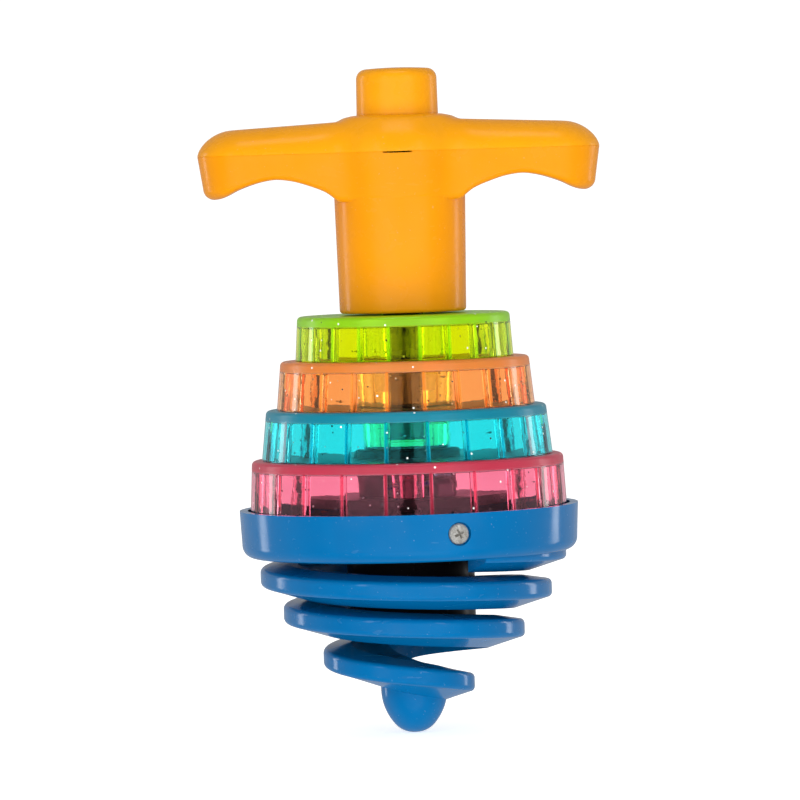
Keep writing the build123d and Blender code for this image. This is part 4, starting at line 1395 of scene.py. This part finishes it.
@dataclass(frozen=True)
class SoftBox:
    """Rectangular lamp, sizes in metres, that faces the object."""

    name: str
    place: Point
    size: Flat
    power: float
    mirrored: bool = True
    target: Point = (0.0, 0.0, 0.08)

    def hang(self) -> None:
        """Adds the lamp; glossy surfaces show it only if it is mirrored."""
        light = bpy.data.lights.new(self.name, "AREA")
        light.shape = "RECTANGLE"
        light.size, light.size_y = self.size
        light.energy = self.power
        lamp = shown(self.name, light)
        lamp.location = self.place
        lamp.visible_glossy = self.mirrored
        lamp.rotation_euler = (Vector(self.target) - Vector(self.place)).to_track_quat("-Z", "Y").to_euler()


SOFT_BOXES = (
    SoftBox("front_left_fill", (-0.45, -0.95, 0.05), (0.9, 0.7), 4.5, mirrored=False),
    SoftBox("front_right_fill", (0.45, -0.95, 0.1), (0.9, 0.7), 4.1, mirrored=False),
    SoftBox("low_fill", (0.0, -0.8, -0.5), (1.0, 0.5), 4.6, mirrored=False),
    SoftBox("left_front_strip", (-0.62, -0.85, 0.55), (0.14, 0.5), 0.5),
    SoftBox("left_back_strip", (-0.95, 0.5, 0.15), (0.16, 0.7), 1.1),
    SoftBox("right_front_strip", (0.62, -0.85, 0.55), (0.14, 0.5), 0.45),
    SoftBox("right_back_strip", (0.95, 0.5, 0.15), (0.16, 0.7), 1.1),
    SoftBox("top_box", (0.0, -0.25, 1.1), (0.6, 0.3), 1.4),
)


@dataclass
class Studio:
    """Pale floor, a white backdrop over a room that is darker in front, soft boxes and the camera."""

    floor_radius: float = 6.0
    backdrop: float = 1.1
    diffuse_fade: Flat = (-1.0, 1.0)
    diffuse_levels: Flat = (0.45, 0.5)
    glossy_fade: Flat = (-0.6, 0.45)
    glossy_levels: Flat = (0.03, 0.4)
    through_fade: Flat = (-0.8, -0.1)
    through_levels: Flat = (0.12, 1.1)
    floor_glow: float = 0.62
    distance: float = 1.232
    eye_z: float = 0.117
    aim: Point = (-0.0012, 0.0, 0.070)
    lens: float = 264.0
    roll: float = -1.7

    def floor(self) -> None:
        """Lays the floor."""
        work = bmesh.new()
        bmesh.ops.create_circle(work, cap_ends=True, segments=96, radius=self.floor_radius)
        mesh = bpy.data.meshes.new("floor")
        work.to_mesh(mesh)
        work.free()
        floor = shown("floor", mesh)
        mix = Recipe("finish_floor")
        mix.paint(mix.mix(mix.noise(400, 2), (0.93, 0.93, 0.93), (0.95, 0.95, 0.95)))
        mix.roughen(mix.spread(mix.noise(60, 2), 0.3, 0.7, 0.75, 0.85))
        mix.fix(Specular_IOR_Level=0.0, Emission_Strength=self.floor_glow)
        mix.shader.inputs["Emission Color"].default_value = (1, 1, 1, 1)
        floor.data.materials.append(mix.material)
        floor.visible_glossy = False
        floor.visible_diffuse = False
        floor.visible_shadow = False

    def camera(self) -> None:
        """Sets up the camera."""
        data = bpy.data.cameras.new("camera")
        data.lens = self.lens
        data.sensor_width = 36
        camera = shown("camera", data)
        camera.location = (self.aim[0], -self.distance, self.eye_z)
        look = (Vector(self.aim) - camera.location).to_track_quat("-Z", "Y")
        camera.rotation_mode = "QUATERNION"
        camera.rotation_quaternion = look @ Euler((0, 0, math.radians(self.roll))).to_quaternion()
        data.clip_start, data.clip_end = 0.05, 50
        bpy.context.scene.camera = camera

    def build(self) -> None:
        """Sets up everything round the object."""
        world = bpy.data.worlds.new("studio")
        world.use_nodes = True
        tree = world.node_tree
        kind = tree.nodes.new("ShaderNodeLightPath")
        where = tree.nodes.new("ShaderNodeTexCoord")
        apart = tree.nodes.new("ShaderNodeSeparateXYZ")
        tree.links.new(where.outputs["Generated"], apart.inputs["Vector"])
        backdrop = tree.nodes["Background"]
        backdrop.inputs["Strength"].default_value = self.backdrop
        backdrop.inputs["Color"].default_value = (1, 1, 1, 1)
        seen = backdrop
        for use in (
            RoomLight("Is Diffuse Ray", self.diffuse_fade, self.diffuse_levels),
            RoomLight("Is Glossy Ray", self.glossy_fade, self.glossy_levels),
            RoomLight("Is Transmission Ray", self.through_fade, self.through_levels),
        ):
            seen = use.over(tree, seen, kind, apart)
        tree.links.new(seen.outputs[0], tree.nodes["World Output"].inputs["Surface"])
        bpy.context.scene.world = world
        bpy.context.scene.view_settings.view_transform = "Standard"
        self.floor()
        for box in SOFT_BOXES:
            box.hang()
        self.camera()


CAD_FINISHES: dict[str, Slot] = {
    "handle_body": Slot.ORANGE,
    "handle_cover": Slot.AMBER,
    "release_button": Slot.AMBER,
    "push_rod": Slot.STEEL,
    "button_spring": Slot.STEEL,
    "power_spring": Slot.STEEL,
    "drive_spindle": Slot.BLACK,
    "thrust_washer": Slot.STEEL,
    "spindle_retainer": Slot.BLACK,
    "retainer_screws": Slot.ZINC,
    "handle_screws": Slot.ZINC,
    "green_tier": Slot.CLEAR_GREEN,
    "orange_tier": Slot.CLEAR_ORANGE,
    "teal_tier": Slot.CLEAR_TEAL,
    "pink_tier": Slot.CLEAR_PINK,
    "spiral_base": Slot.BLUE,
    "body_screws": Slot.STEEL,
    "module_housing": Slot.BLACK,
    "module_screws": Slot.BLACK,
    "circuit_board": Slot.BOARD,
    "motion_switch": Slot.ZINC,
    "led_lamps": Slot.LAMP,
    "led_wire_blue": Slot.BLUE_WIRE,
    "led_wire_dark": Slot.DARK_WIRE,
    "battery_cradle": Slot.BLACK,
    "button_cells": Slot.CELL_STEEL,
    "contact_plate": Slot.BRASS,
    "contact_spring": Slot.STEEL,
    "battery_cover": Slot.BLACK,
    "cover_screws": Slot.ZINC,
}


TIERS = (
    GreenTier(
        "green", Slot.CLEAR_GREEN, top_z=88.1, low_z=78.8, top_radius=22.3, low_radius=22.9,
        hole_radius=5.3,
    ),
    ClearTier(
        "orange", Slot.CLEAR_ORANGE, top_z=78.8, low_z=68.6, top_radius=26.1, low_radius=27.1,
        hole_radius=9.0, upper_tab_middle=22.15,
    ),
    ClearTier(
        "teal", Slot.CLEAR_TEAL, top_z=68.6, low_z=58.1, top_radius=29.4, low_radius=30.55,
        hole_radius=9.0, upper_tab_middle=26.35,
    ),
    PinkTier(
        "pink", Slot.CLEAR_PINK, top_z=58.1, low_z=40.6, top_radius=32.7, low_radius=33.6,
        hole_radius=10.05, upper_tab_middle=29.8,
    ),
)


def main() -> None:
    """Builds the pieces in order, dresses them and sets up the studio."""
    logging.basicConfig(level=logging.INFO, format="%(message)s")
    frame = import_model()
    finishes = all_finishes()
    for node, slot in CAD_FINISHES.items():
        dress(frame["nodes"][node], finishes[slot])
    makers = [
        (HandleCover(), Slot.AMBER),
        (HandleShell(), Slot.ORANGE),
        (ReleaseButton(), Slot.AMBER),
        *((tier, tier.slot) for tier in TIERS),
        (BaseScrews(), Slot.STEEL),
        (ButtonSpring(), Slot.STEEL),
    ]
    for maker, slot in makers:
        piece = maker.build()
        dress(piece, finishes[slot])
        log.info("%s: %d faces", piece.name, len(piece.data.polygons))
    Studio().build()


if __name__ == "__main__":
    main()
